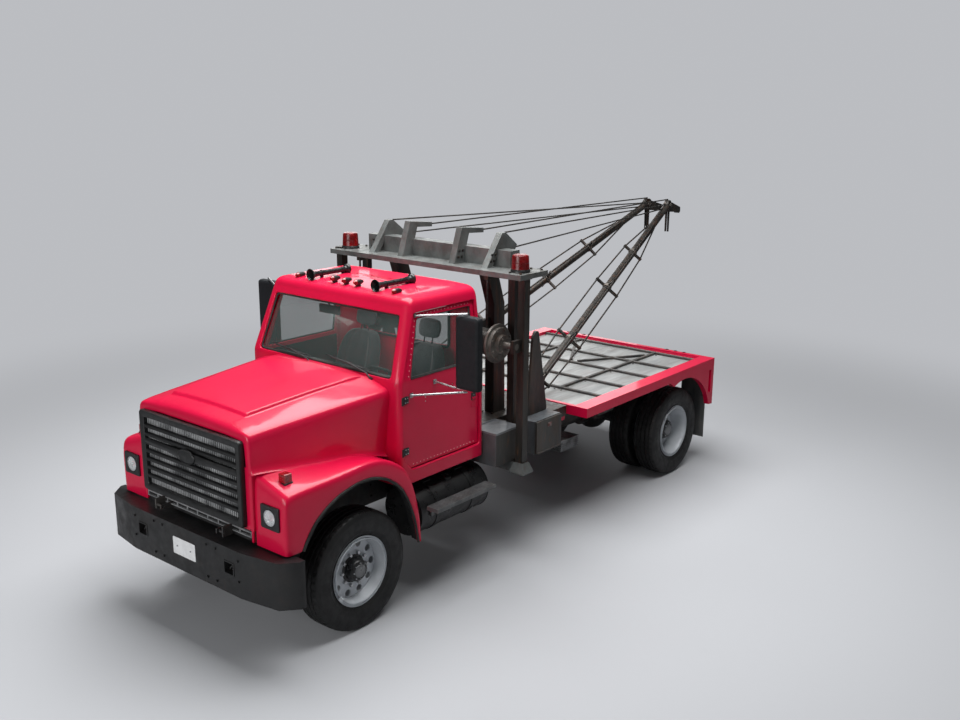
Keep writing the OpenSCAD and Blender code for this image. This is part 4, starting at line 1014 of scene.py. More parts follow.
eased_copy("dashboard", "chassis", black_moulding, 0.030, 4)
b = bmesh.new()
rows = []
for x, top, half in ((-0.86, 1.905, 0.17), (-0.80, 1.925, 0.19), (-0.72, 1.915, 0.17), (-0.66, 1.86, 0.12)):
    rows.append([(x, 0.42 + half * math.cos(a), 1.80 + (top - 1.80) * math.sin(a))
                 for a in [math.pi * i / 10 for i in range(11)]])
skin(rows, into=b)
soften(settle("dash_hood", faced(b), "chassis", black_moulding, smooth=60), 1, 0.006)
eased_copy("steering_wheel", "chassis", black_moulding, 0.003)
mat_rubber = finish("floor mat", (0.028, 0.028, 0.029), 0.8, dust=0.35, bump=0.5, grain=70)
eased_copy("cab_floor", "chassis", mat_rubber, 0.004)


# ---------- grille, headlamps and markers ----------
# A charcoal moulded grille frame with seven tilted blades, a bar across the
# middle with a blank oval on it, and the bright fins of the core behind.
charcoal = finish("charcoal moulding", (0.0060, 0.0065, 0.0070), 0.40, second=(0.0085, 0.0090, 0.0095), dust=0.02)


def frame_ring(b, half, low, high, width, x0, x1, steps=4, corner=0.03):
    """A moulded ring with a rounded outline, seen from the front, between two depths."""
    outer = rounded([(0, half, low), (0, -half, low), (0, -half, high), (0, half, high)], corner, steps)
    inner = rounded([(0, half - width, low + width), (0, -half + width, low + width), (0, -half + width, high - width),
                     (0, half - width, high - width)], corner * 0.7, steps)
    ease = (x1 - x0) * 0.22
    rows = []
    for f, x in ((0, x0), (0, x1 - ease), (0.12, x1), (0.80, x1), (1, x1 - ease), (1, x0)):
        rows.append([(x, o.y + (i.y - o.y) * f, o.z + (i.z - o.z) * f) for o, i in zip(outer, inner)])
    rows.append(rows[0])
    columns = list(zip(*rows))
    skin(columns + columns[:1], into=b)
    bmesh.ops.remove_doubles(b, verts=b.verts, dist=1e-6)


b = bmesh.new()
frame_ring(b, 0.668, 1.100, 1.810, 0.058, 0.8645, 0.908)
settle("grille_frame", faced(b), "hood", charcoal, ("grille",), smooth=40)
b = bmesh.new()
for i in range(7):
    z = 1.160 + (i + 1) * (1.750 - 1.160) / 8
    rows = [[(0.872 + dx, y, z + dz) for dx, dz in ((0, 0.010), (0.010, 0.018), (0.026, 0.009), (0.028, -0.013),
                                                    (0.020, -0.019), (0.004, -0.005))] for y in (-0.611, 0.611)]
    skin(rows, closed=True, into=b)
settle("grille_blades", faced(b), "hood", charcoal, bevel=0.002)
b = bmesh.new()
rows = []
for y, tall, deep in ((-0.612, 0.022, 0.904), (-0.30, 0.026, 0.915), (-0.14, 0.034, 0.925), (0.14, 0.034, 0.925),
                      (0.30, 0.026, 0.915), (0.612, 0.022, 0.904)):
    rows.append([(x, y, 1.545 + dz) for x, dz in ((0.885, -tall), (deep - 0.008, -tall), (deep, -tall * 0.5),
                                                  (deep, tall * 0.5), (deep - 0.008, tall), (0.885, tall))])
skin(rows, closed=True, into=b)
settle("grille_bar", faced(b), "hood", charcoal, smooth=50)
b = bmesh.new()
rows = [[(x, 0.115 * r * math.cos(a), 1.545 + 0.062 * r * math.sin(a)) for a in around(36)]
        for r, x in ((1.0, 0.916), (1.0, 0.930), (0.93, 0.936), (0.85, 0.935), (0.82, 0.931), (0.40, 0.934),
                     (0.02, 0.935))]
skin(rows, closed=True, into=b)
b.verts.ensure_lookup_table()
b.faces.new(b.verts[-36:])
settle("grille_boss", faced(b), "hood", charcoal, smooth=50)
fins = [((0.862, y, 1.455), (1, 0, 0), (0, 0, 1)) for y in spaced(-0.60, 0.024, 51)]
fin_silver = finish("core fins", (0.52, 0.53, 0.54), 0.45, metal=0.2, second=(0.12, 0.125, 0.13), scale=5,
                    spread=(0.38, 0.62))
place_instances("core_fins", fins, "block", (0.012, 0.012, 0.62), fin_silver, "hood")
b = bmesh.new()
block(b, (0.845, -0.62, 1.13), (0.856, 0.62, 1.78))
settle("core_back", b, "hood", black_moulding)

chrome = finish("chrome", (0.62, 0.63, 0.64), 0.10, metal=1.0, second=(0.55, 0.56, 0.57), scale=5, rough_spread=0.04)
clear = glass_finish("clear lens", (0.86, 0.89, 0.91), 0.26)
lamp_red = finish("red lens", (0.30, 0.004, 0.006), 0.22, second=(0.16, 0.002, 0.003), scale=30, coat=0.8)
lamp_y, lamp_z = 0.923, 1.2465


def bezel(b, side):
    c = Vector((0, side * lamp_y, lamp_z))
    outer = rounded([c + Vector((0, sy * 0.106, sz * 0.0975)) for sy, sz in ((1, -1), (-1, -1), (-1, 1), (1, 1))],
                    0.016, 5)
    count = len(outer)
    hole = [c + Vector((0, 0.062 * math.cos(a), 0.066 * math.sin(a)))
            for a in [-math.pi * 0.25 - 2 * math.pi * (i - count / 8 + 0.5) / count for i in range(count)]]
    rows = []
    for f, x in ((0, 0.834), (0.0, 0.850), (0.10, 0.8545), (0.80, 0.8545), (1, 0.846), (1, 0.836)):
        rows.append([(x, o.y + (h.y - o.y) * f, o.z + (h.z - o.z) * f) for o, h in zip(outer, hole)])
    skin(rows, closed=True, into=b)


def reflector(b, side):
    turned(b, [(0.0, 0.012), (0.002, 0.03), (0.008, 0.045), (0.014, 0.060), (0.0145, 0.066), (-0.001, 0.066),
               (-0.001, 0.012)],
           (0.8365, side * lamp_y, lamp_z), (1, 0, 0), 40, closed=True)
    turned(b, [(0.011, 0.056), (0.017, 0.059), (0.017, 0.066), (0.011, 0.066)],
           (0.8365, side * lamp_y, lamp_z), (1, 0, 0), 40, closed=True)
    turned(b, [(0.002, 0.0), (0.002, 0.014), (0.014, 0.011), (0.020, 0.0)], (0.8365, side * lamp_y, lamp_z), (1, 0, 0),
           16)


def lens(b, side):
    turned(b, [(0.0, 0.0), (0.0, 0.058), (0.003, 0.059), (0.010, 0.042), (0.0135, 0.022), (0.0145, 0.0)],
           (0.8505, side * lamp_y, lamp_z), (1, 0, 0), 40)


settle("headlamp_bezels", both_sides(bezel), "hood", charcoal, ("headlamps",), smooth=40)
settle("headlamp_bowls", both_sides(reflector), "hood", chrome, smooth=50)
settle("headlamp_lenses", both_sides(lens), "hood", clear, smooth=60)


def marker(b, side):
    block(b, (0.652, side * 0.895, 1.496), (0.728, side * 0.971, 1.568))


def marker_foot(b, side):
    block(b, (0.648, side * 0.891, 1.470), (0.732, side * 0.975, 1.499))


settle("fender_markers", both_sides(marker), "hood", lamp_red, bevel=0.008, segments=3)
settle("marker_feet", both_sides(marker_foot), "hood", charcoal, bevel=0.004)


# ---------- bumper and number plate ----------
# A deep pressed steel bumper in satin black, swept back at its ends, with
# framed square towing holes, a row of bolts and a blank plate between them.
satin_black = finish("satin black steel", (0.0050, 0.0053, 0.0058), 0.45, second=(0.0080, 0.0083, 0.0090), scale=3,
                     dust=0.03,
                     rust=0.04)
bumper = eased_copy("front_bumper", "chassis", satin_black, 0.007, 3)
bumper.data.set_sharp_from_angle(angle=math.radians(60))        # its swept ends read as one bend
bumper.modifiers["eased edges"].angle_limit = math.radians(60)
x_face = 1.0
b = bmesh.new()
for side in (1, -1):
    y, z = side * 0.585, 0.7825
    ring = rounded([(0, y + 0.066, z - 0.058), (0, y - 0.066, z - 0.058), (0, y - 0.066, z + 0.058),
                    (0, y + 0.066, z + 0.058)],
                   0.012, 3)
    inner = rounded([(0, y + 0.052, z - 0.045), (0, y - 0.052, z - 0.045), (0, y - 0.052, z + 0.045),
                     (0, y + 0.052, z + 0.045)],
                    0.008, 3)
    rows = []
    for f, dx in ((0, -0.004), (0, 0.003), (0.15, 0.005), (0.85, 0.005), (1, 0.002), (1, -0.06)):
        rows.append([(x_face + dx, o.y + (i.y - o.y) * f, o.z + (i.z - o.z) * f) for o, i in zip(ring, inner)])
    skin(rows, closed=True, into=b)
    tube(b, [(0.90, y + 0.02, z), (0.95, y + 0.018, z + 0.004), (0.972, y, z + 0.010), (0.972, y - 0.012, z - 0.012),
             (0.95, y - 0.02, z - 0.02), (0.90, y - 0.02, z - 0.022)], 0.011, 10)
settle("tow_frames", faced(b), "chassis", satin_black, smooth=40)
face_bolts = [((1.001, side * y, z), (1, 0, 0)) for side in (1, -1) for y, z in
              ((0.30, 0.90), (0.42, 0.90), (0.30, 0.62), (0.42, 0.62), (0.70, 0.875), (0.70, 0.70))]
place_instances("bumper_bolts", face_bolts, 6, (0.012, 0.010, 0), satin_black, "chassis")
blank_white = finish("blank plate", (0.78, 0.79, 0.80), 0.38, second=(0.70, 0.71, 0.72), scale=14, dust=0.10)
b = bmesh.new()
plate = rounded([(0, 0.150, 0.697), (0, -0.150, 0.697), (0, -0.150, 0.847), (0, 0.150, 0.847)], 0.014, 4)
rows = [[(x, p.y * f, 0.772 + (p.z - 0.772) * f) for p in plate]
        for f, x in ((1.0, 1.0005), (1.0, 1.003), (0.985, 1.0045), (0.955, 1.0045), (0.94, 1.0033))]
skin(rows, closed=True, into=b)
b.verts.ensure_lookup_table()
b.faces.new([b.verts[i] for i in range(len(plate) * 4, len(plate) * 5)])
settle("blank_number_plate", faced(b), "chassis", blank_white, smooth=30)
place_instances("plate_screws", [((1.0045, y, 0.774), (1, 0, 0)) for y in (-0.09, 0.09)], 12, (0.008, 0.005, 0), bright,
                "chassis")


# ---------- wheels ----------
# Worn black truck tyres with five ribs and cut shoulders on silver pressed
# steel rims, with ten wheel nuts, hand holes and a dark hub with a round cap.
tread_rubber = finish("tyre rubber", (0.0030, 0.0030, 0.0032), 0.55, second=(0.0050, 0.0050, 0.0052), scale=5,
                      dust=0.02)
silver = finish("wheel silver", (0.62, 0.65, 0.68), 0.46, metal=0.15, second=(0.54, 0.57, 0.60), scale=5)
hub_dark = finish("hub black", (0.010, 0.0105, 0.011), 0.35, second=(0.018, 0.018, 0.019), dust=0.03)
cap_grey = finish("hub cap", (0.20, 0.205, 0.21), 0.35, metal=0.4)
tyre_radius, bead, wheelbase, nut_circle = 0.52, 0.2845, 4.99, 0.1425
front_y, outer_y, inner_y = 0.902, 1.043, 0.700          # the wheels' middles, out from the truck's
wall = [(0.0995, bead), (0.105, 0.306), (0.112, 0.325), (0.1265, 0.350), (0.1295, 0.354), (0.1290, 0.360),
        (0.1350, 0.392),
        (0.1375, 0.416), (0.1365, 0.440), (0.1335, 0.458), (0.1345, 0.462), (0.1335, 0.468), (0.1290, 0.486),
        (0.1240, 0.499), (0.1170, 0.508)]
# tread rows: place across, radius, and how deep the cross cuts are there
tread = [(0.1120, 0.5125, 0.010), (0.100, 0.5165, 0.009), (0.086, 0.5185, 0.004), (0.081, 0.508, 0), (0.073, 0.508, 0),
         (0.068, 0.5190, 0.003), (0.052, 0.5195, 0.006), (0.036, 0.5198, 0.003), (0.031, 0.508, 0), (0.023, 0.508, 0),
         (0.018, 0.5200, 0.003), (0.0, 0.5200, 0.006)]


def tyre(b, centre, side):
    """One tyre round its own centre; its outer wall faces the side."""
    steps = 180
    half = [(a, r, 0.0) for a, r in wall] + tread
    section = half + [(-a, r, c) for a, r, c in reversed(half[:-1])]
    rings = []
    for i in range(steps):
        angle = 2 * math.pi * i / steps
        ring = []
        for k, (a, r, cut) in enumerate(section):
            phase = (i + (2 if abs(a) < 0.06 else 0) + (1 if a < 0 else 0)) % 4
            wave = 0.0022 * (1 if i % 4 < 2 else -1) if cut or 0.02 < abs(a) < 0.09 else 0
            radius = r - (cut if phase == 0 else 0)
            ring.append(b.verts.new((centre[0] + radius * math.sin(angle), centre[1] + side * (a + wave),
                                     centre[2] + radius * math.cos(angle))))
        rings.append(ring)
    for low, high in zip(rings, rings[1:] + rings[:1]):
        for k in range(len(low) - 1):
            b.faces.new((low[k], low[k + 1], high[k + 1], high[k]))


for name, side in (("left", 1), ("right", -1)):
    for place, cad, body, x, middles in (("front", "front_tyre_", "front_wheel_", 0.0, (front_y,)),
                                         ("rear", "rear_tyres_", "rear_wheels_", -wheelbase, (outer_y, inner_y))):
        b = bmesh.new()
        for middle in middles:
            tyre(b, (x, side * middle, tyre_radius), side)
        bmesh.ops.recalc_face_normals(b, faces=b.faces)
        outer = max(b.faces, key=lambda f: (f.calc_center_median() - Vector((x, 0, tyre_radius))).length)
        if outer.normal.dot(outer.calc_center_median() - Vector((x, outer.calc_center_median().y, tyre_radius))) < 0:
            bmesh.ops.reverse_faces(b, faces=b.faces)
        settle("%s_tyre_%s_tread" % (place, name), b, body + name, tread_rubber, (cad + name,), smooth=32)
        face, hub_r, hub_out = ((front_y + 0.020, 0.095, front_y + 0.110) if place == "front" else
                                (outer_y - 0.070, 0.110, outer_y + 0.040))

        def no_hub(b):
            gone = [f for f in b.faces for c in [f.calc_center_median()]
                    if abs(c.y) > face + 0.003 and math.hypot(c.x - FRONT_AXLE - x, c.z - tyre_radius) < hub_r + 0.004]
            bmesh.ops.delete(b, geom=gone, context="FACES")

        eased_copy(("front_rim_" if place == "front" else "rear_rims_") + name, body + name, silver,
                   0.002,
                   change=no_hub)
        b = bmesh.new()
        lip = middles[0] + 0.1175
        turned(b, [(side * (lip - 0.012), 0.2830), (side * (lip + 0.001), 0.2835), (side * (lip + 0.0015), 0.2780),
                   (side * (lip - 0.010), 0.2710), (side * (lip - 0.040), 0.2640), (side * (face + 0.020), 0.2520),
                   (side * (face + 0.004), 0.2480), (side * (face + 0.001), 0.2560), (side * (lip - 0.05), 0.2690)],
               (x, 0, tyre_radius), (0, 1, 0), 72, closed=True)
        settle("rim_bowl_%s_%s" % (place, name), faced(b), body + name, silver, smooth=50)
        nuts = []
        for a in around(10, 0.5):
            nuts.append(((x + nut_circle * math.sin(a), side * (face + 0.008), tyre_radius + nut_circle * math.cos(a)),
                         (0, side, 0)))
        place_instances("wheel_nuts_%s_%s" % (place, name), nuts, 6, (0.0165, 0.024, 0), bright, body + name)
        b = bmesh.new()
        middle = (x, 0, tyre_radius)
        turned(b, [(side * (face - 0.001), 0.0), (side * (face - 0.001), 0.122), (side * (face + 0.006), 0.122),
                   (side * (face + 0.012), hub_r + 0.006), (side * (hub_out - 0.030), hub_r + 0.0015),
                   (side * (hub_out - 0.012), hub_r - 0.006), (side * (hub_out - 0.002), hub_r - 0.022),
                   (side * (hub_out - 0.002), 0.0)], middle, (0, 1, 0), 48)
        settle("hub_%s_%s" % (place, name), faced(b), body + name, hub_dark, smooth=40)
        b = bmesh.new()
        turned(b, [(side * (hub_out - 0.003), 0.0), (side * (hub_out - 0.003), hub_r * 0.62),
                   (side * (hub_out + 0.004), hub_r * 0.60), (side * (hub_out + 0.010), hub_r * 0.48),
                   (side * (hub_out + 0.013), hub_r * 0.28), (side * (hub_out + 0.014), 0.0)], middle, (0, 1, 0), 40)
        settle("hub_cap_%s_%s" % (place, name), faced(b), body + name, cap_grey, smooth=60)
        cap_bolts = [((x + hub_r * 0.76 * math.sin(a), side * (hub_out - 0.001),
                       tyre_radius + hub_r * 0.76 * math.cos(a)),
                      (0, side, 0)) for a in around(8)]
        place_instances("hub_bolts_%s_%s" % (place, name), cap_bolts, 6, (0.0075, 0.008, 0), bright, body + name)
        b = bmesh.new()
        tube(b, [(x + 0.255 * math.sin(0.3), side * (face + 0.012), tyre_radius + 0.255 * math.cos(0.3)),
                 (x + 0.215 * math.sin(0.3), side * (face + 0.030), tyre_radius + 0.215 * math.cos(0.3))], 0.005, 8)
        settle("valve_%s_%s" % (place, name), b, body + name, rubber)


# ---------- bed frame and deck ----------
# A red channel frame round a worn plate deck, pale where loads have polished
# it, with black bars and two diagonal braces; flaps and lamps at the rear.
eased_copy("bed_frame", "chassis", paint, 0.006, 3)
plate_steel = finish("deck plate", (0.36, 0.37, 0.37), 0.55, metal=0.15, second=(0.24, 0.25, 0.25), scale=3.5,
                     spread=(0.35, 0.65), rust=0.25, dust=0.25, bump=0.5, grain=45, streak=(0.35, 2.2, 1))
bar_black = finish("deck bar", (0.020, 0.020, 0.021), 0.55, second=(0.045, 0.040, 0.036), scale=10, rust=0.45, dust=0.2,
                   bump=0.3)
eased_copy("deck", "chassis", plate_steel, 0.002)
b = bmesh.new()
deck_half = 1.107
for x in (-3.50, -3.97, -4.49, -4.98, -5.52):
    block(b, (x - 0.0205, -deck_half, 1.2535), (x + 0.0205, deck_half, 1.2790))
for y in (-0.555, 0.555):
    block(b, (-5.52, y - 0.0185, 1.2535), (-3.50, y + 0.0185, 1.2795))
settle("deck_bars", b, "chassis", bar_black, bevel=0.003)
b = bmesh.new()
for side in (1, -1):
    start, end = Vector((-4.57, side * 0.05, 1.266)), Vector((-5.34, side * 0.51, 1.266))
    along = (end - start).normalized()
    out = along.cross(Vector((0, 0, 1)))
    corners = []
    for p in (start, end):
        for o, h in ((out * 0.016, -0.012), (out * 0.016, 0.014), (out * -0.016, 0.014), (out * -0.016, -0.012)):
            corners.append(b.verts.new(p + o + Vector((0, 0, h))))
    for i in range(4):
        j = (i + 1) % 4
        b.faces.new((corners[i], corners[j], corners[4 + j], corners[4 + i]))
    b.faces.new(corners[:4][::-1])
    b.faces.new(corners[4:])
settle("deck_braces", faced(b), "chassis", bar_black, bevel=0.002)
b = bmesh.new()
low = [b.verts.new(p) for p in ((-5.32, -0.52, 1.254), (-5.49, -0.50, 1.254), (-4.56, -0.02, 1.254))]
high = [b.verts.new(v.co + Vector((0, 0, 0.008))) for v in low]
b.faces.new(low)
b.faces.new(high)
for i in range(3):
    b.faces.new((low[i], low[(i + 1) % 3], high[(i + 1) % 3], high[i]))
settle("deck_gusset", faced(b), "chassis", plate_steel, bevel=0.002)
seam = []
for x0, x1 in ((-3.48, -2.99), (-3.95, -3.52), (-4.47, -3.99), (-4.96, -4.51), (-5.50, -5.00)):
    for y in (-1.08, -0.60, -0.51, 0.51, 0.60, 1.08):
        seam += [((x0 + 0.03, y, 1.2535), (0, 0, 1)), ((x1 - 0.03, y, 1.2535), (0, 0, 1))]
place_instances("deck_studs", seam, 8, (0.011, 0.006, 0), bar_black, "chassis")
flap_rubber = finish("mud flap", (0.060, 0.064, 0.066), 0.7, second=(0.10, 0.10, 0.10), scale=6, dust=0.4, bump=0.5,
                     grain=80,
                     streak=(1, 1, 0.3))
eased_copy("mud_flaps", "chassis", flap_rubber, 0.002)
b = bmesh.new()
for side in (1, -1):
    block(b, (-5.652, side * 0.87, 1.12), (-5.634, side * 1.212, 1.17))
settle("flap_clamps", b, "chassis", chassis_black, bevel=0.003)


tail_lamp_places = (0.62, 0.74, 0.86)


def tail_lamp(b, side):
    for y in tail_lamp_places:
        turned(b, [(0.0, 0.0), (0.0, 0.047), (-0.006, 0.047), (-0.016, 0.040), (-0.020, 0.022), (-0.021, 0.0)],
               (-5.679, side * y, 1.243), (1, 0, 0), 28)


def tail_ring(b, side):
    for y in tail_lamp_places:
        turned(b, [(0.022, 0.046), (0.022, 0.056), (0.0, 0.056), (0.0, 0.046)],
               (-5.703, side * y, 1.243), (1, 0, 0), 28, closed=True)


def side_slot(b, side):
    block(b, (-5.605, side * 1.2125, 0.83), (-5.535, side * 1.217, 1.08))


def side_slot_lamp(b, side):
    block(b, (-5.592, side * 1.216, 0.86), (-5.550, side * 1.2225, 1.05))


settle("tail_lamps", both_sides(tail_lamp), "chassis", lamp_red, smooth=40)
settle("tail_rings", both_sides(tail_ring), "chassis", charcoal, smooth=40)
settle("side_slots", both_sides(side_slot), "chassis", charcoal, bevel=0.002)
settle("side_slot_lamps", both_sides(side_slot_lamp), "chassis", clear, bevel=0.002)


# ---------- fuel tanks, steps and gear along the frame ----------
# Black drum tanks in steel straps under the doors, each with a ribbed step
# on brackets, and a valve block with ports behind the rear toolboxes.
tank_black = finish("tank black", (0.0060, 0.0063, 0.0068), 0.34, second=(0.0090, 0.0093, 0.0098), scale=4, dust=0.02)
eased_copy("fuel_tanks", "chassis", tank_black, 0.006, 3)


def tank_details(b, side):
    for x in (-1.671, -0.754):
        turned(b, [(-0.006, 0.228), (0.006, 0.228), (0.006, 0.221), (-0.006, 0.221)], (x, side * 0.8, 0.76), (1, 0, 0),
               56,
               closed=True)
    for x in (-1.43, -0.995):
        rod(b, (x - 0.05, side * 0.845, 0.987), (x + 0.05, side * 0.845, 0.987), 0.010)
    turned(b, [(0.0, 0.0), (0.0, 0.045), (0.022, 0.045), (0.030, 0.040), (0.034, 0.0)], (-1.22, side * 0.885, 0.962),
           (0, side * 0.38, 0.92), 28)


settle("tank_rings", both_sides(tank_details), "chassis", tank_black, smooth=40)
step_steel = finish("step steel", (0.085, 0.090, 0.093), 0.45, metal=0.3, second=(0.14, 0.145, 0.15), scale=9,
                    dust=0.25,
                    rust=0.1, bump=0.2)
eased_copy("tank_steps", "chassis", step_steel, 0.003)
ridges = both([((x, 1.145, 0.8815), (0, 0, 1), (0, 1, 0)) for x in spaced(-1.55, 0.021, 39)])
place_instances("step_ridges", ridges, "block", (0.009, 0.005, 0.120), step_steel, "chassis")


def valve_block(b, side):
    low, high = sorted((side * 0.56, side * 1.00))
    block(b, (-3.20, low, 0.79), (-2.90, high, 0.89))
    for i in range(6):
        z = 0.782 + 0.021 * i
        block(b, (-3.210, low - 0.004, z), (-2.890, high + 0.004, z + 0.010))
    rod(b, (-3.05, side * 0.425, 0.84), (-3.05, side * 0.57, 0.84), 0.035)
    rod(b, (-2.95, side * 0.62, 0.88), (-2.95, side * 0.62, 0.97), 0.018)
    rod(b, (-3.02, side * 0.72, 0.88), (-3.02, side * 0.72, 0.95), 0.014)


block_steel = finish("valve block", (0.20, 0.205, 0.21), 0.4, metal=0.5, second=(0.07, 0.072, 0.075), scale=12,
                     dust=0.15)
settle("valve_blocks", both_sides(valve_block), "chassis", block_steel, bevel=0.002)
b = bmesh.new()
hose_runs = [[(-2.95, 0.62, 0.96), (-2.80, 0.56, 0.965), (-2.5, 0.47, 0.95), (-2.2, 0.45, 0.94), (-1.9, 0.445, 0.95)],
             [(-3.02, 0.72, 0.94), (-3.12, 0.66, 0.95), (-3.25, 0.55, 0.95), (-3.5, 0.45, 0.96), (-4.0, 0.44, 0.96)]]
for side in (1, -1):
    for run in hose_runs:
        fine = []
        for i in range(len(run) - 1):
            p = [Vector(run[max(0, min(len(run) - 1, i + k))]) for k in (-1, 0, 1, 2)]
            for k in range(8):
                f = k / 8
                fine.append(0.5 * ((2 * p[1]) + (p[2] - p[0]) * f + (2 * p[0] - 5 * p[1] + 4 * p[2] - p[3]) * f ** 2
                                   + (3 * p[1] - p[0] - 3 * p[2] + p[3]) * f ** 3))
        fine.append(Vector(run[-1]))
        tube(b, [(v.x, side * v.y, v.z) for v in fine], 0.011, 8)
settle("air_lines", b, "chassis", rubber, smooth=60)


# ---------- toolboxes ----------
# Folded sheet boxes in blue-grey paint gone dull, with lighter lids, reddish latches on their front faces, and dark
# drop-down doors at the rear.
# The boxes' sideways faces take the doors' dark colour as painted shade.
box_blue = finish("box paint", (0.105, 0.118, 0.130), 0.5, metal=0.2, second=(0.075, 0.082, 0.090), scale=5, rust=0.35,
                  dust=0.2,
                  bump=0.3, grain=90, streak=(1, 1, 0.35))
lid_blue = finish("lid paint", (0.20, 0.215, 0.23), 0.42, metal=0.25, second=(0.14, 0.15, 0.165), scale=5, rust=0.2,
                  dust=0.2,
                  bump=0.25, grain=90)
door_dark_and_side_shade = finish("box door and painted side shade", (0.030, 0.030, 0.030), 0.5, metal=0.2, second=(0.055, 0.052, 0.048), scale=4, rust=0.5,
                   dust=0.15,
                   bump=0.3, streak=(1, 1, 0.25))


# Painted shade: every face of the boxes that looks sideways takes the second, dark material, so the sides read darker
# than the fronts.
def shade_box_sides(b):
    for f in b.faces:
        f.normal_update()
        if abs(f.normal.y) > 0.8:
            f.material_index = 1


eased_copy("toolboxes", "chassis", [box_blue, door_dark_and_side_shade], 0.005, 2, change=shade_box_sides)
latch_red = finish("latch", (0.14, 0.035, 0.028), 0.45, metal=0.4, second=(0.20, 0.16, 0.15), scale=30, rust=0.3)
for name, side in (("left", 1), ("right", -1)):
    eased_copy("toolbox_lid_" + name, "toolbox_lid_" + name, lid_blue, 0.004)
    eased_copy("toolbox_door_" + name, "toolbox_door_" + name, door_dark_and_side_shade, 0.004)
    b = bmesh.new()
    block(b, (-2.43, side * 1.200, 1.235), (-2.37, side * 1.207, 1.275))
    rod(b, (-2.40, side * 1.203, 1.255), (-2.40, side * 1.214, 1.255), 0.016)
    settle("box_door_latch_" + name, b, "toolbox_door_" + name, latch_red, bevel=0.002)
b = bmesh.new()
for side in (1, -1):
    for x, y in ((-1.665, 0.93), (-2.19, 0.97)):
        y = side * y
        block(b, (x - 0.002, y - 0.024, 1.215), (x + 0.008, y + 0.024, 1.275))
        block(b, (x + 0.005, y - 0.009, 1.19), (x + 0.015, y + 0.009, 1.262))
        rod(b, (x + 0.006, y - 0.02, 1.268), (x + 0.006, y + 0.02, 1.268), 0.006)
for y in (-0.25, 0.25):
    block(b, (-1.722, y - 0.03, 1.66), (-1.710, y + 0.03, 1.72))
    block(b, (-1.714, y - 0.01, 1.63), (-1.704, y + 0.01, 1.70))
settle("box_latches", b, "chassis", latch_red, bevel=0.002)
b = bmesh.new()
for y0, y1 in ((-0.485, -0.01), (0.01, 0.485)):      # the tall cabinet's two front doors
    block(b, (-1.7215, y0, 1.325), (-1.7150, y1, 1.755))
block(b, (-2.068, -0.508, 1.776), (-1.712, 0.508, 1.792))
settle("cabinet_doors", b, "chassis", box_blue, bevel=0.003)


# ---------- mast: posts, legs, gantry and beacons ----------
# Heavy welded plate and channel in worn dark steel, rusty down its length;
# the gantry is galvanised and dulled, with a red beacon at each end.
old_steel = finish("worn steel", (0.030, 0.027, 0.024), 0.42, metal=0.4, second=(0.013, 0.0125, 0.012), scale=5,
                   spread=(0.38, 0.62), rust=0.65, dust=0.15, bump=0.5, grain=70, streak=(2.2, 2.2, 0.22))
galvanised = finish("dull galvanised", (0.150, 0.162, 0.160), 0.48, metal=0.35, second=(0.082, 0.088, 0.086), scale=6,
                    spread=(0.36, 0.66), rust=0.25, dust=0.15, bump=0.35, grain=60)


def pale_foot(b):
    for f in b.faces:
        if f.calc_center_median().z < 0.980:
            f.material_index = 1


eased_copy("mast_posts", "chassis", [old_steel, galvanised], 0.005, 3, change=pale_foot)
eased_copy("winch_tower", "chassis", old_steel, 0.004)
side_black = finish("side plate", (0.012, 0.0125, 0.013), 0.5, second=(0.040, 0.035, 0.031), scale=4, rust=0.5,
                    dust=0.1, bump=0.3,
                    streak=(1, 1, 0.3))
b = bmesh.new()
for side in (1, -1):
    outline = rounded([(-2.290, 0, 1.320), (-2.360, 0, 2.105), (-2.400, 0, 2.160), (-2.450, 0, 2.150),
                       (-2.610, 0, 1.320)],
                      0.03, 4)
    low, high = sorted((side * 0.985, side * 1.015))
    near_face = [b.verts.new((p.x, low, p.z)) for p in outline]
    far_face = [b.verts.new((p.x, high, p.z)) for p in outline]
    b.faces.new(near_face)
    b.faces.new(far_face)
    for i in range(len(outline)):
        j = (i + 1) % len(outline)
        b.faces.new((near_face[i], near_face[j], far_face[j], far_face[i]))
settle("side_plate_bodies", faced(b), "chassis", side_black, ("side_plates",), bevel=0.004)
eased_copy("gantry", "chassis", galvanised, 0.005, 2)
gantry_bolts = []
for side in (1, -1):
    for y in (0.34, 0.74):
        for dx in (0, 0.05):
            for z in (2.86, 2.92):
                gantry_bolts.append(((-1.985 - dx - (z - 2.86) * 0.3, side * (y + 0.036), z), (0, side, 0)))
    for x in (-1.88, -2.20):
        for y in (1.09, 1.21):
            gantry_bolts.append(((x, side * y, 2.802), (0, 0, 1)))
    for x in (-2.40, -2.20):
        for y in (0.66, 0.54):
            gantry_bolts.append(((x + 0.03, side * y, 1.304), (0, 0, 1)))
place_instances("gantry_bolts", gantry_bolts, 6, (0.014, 0.012, 0), old_steel, "chassis")
welds = bmesh.new()
for side in (1, -1):
    for y in (0.34, 0.74):
        for dy in (-0.037, 0.037):
            tube(welds, [(x, side * y + dy, 2.801 + 0.0015 * math.sin(i * 2.1)) for i, x in
                         enumerate(spaced(-2.06, 0.0105, 13))], 0.0045, 6)
    for dy in (-0.041, 0.041):
        tube(welds, [(x, side * 1.2 + dy, 2.7505) for x in (-2.01, -1.95, -1.89)], 0.005, 6)
settle("gantry_welds", welds, "chassis", galvanised, smooth=60)


beacon_x, beacon_y, beacon_foot = -1.998, 1.118, 2.8


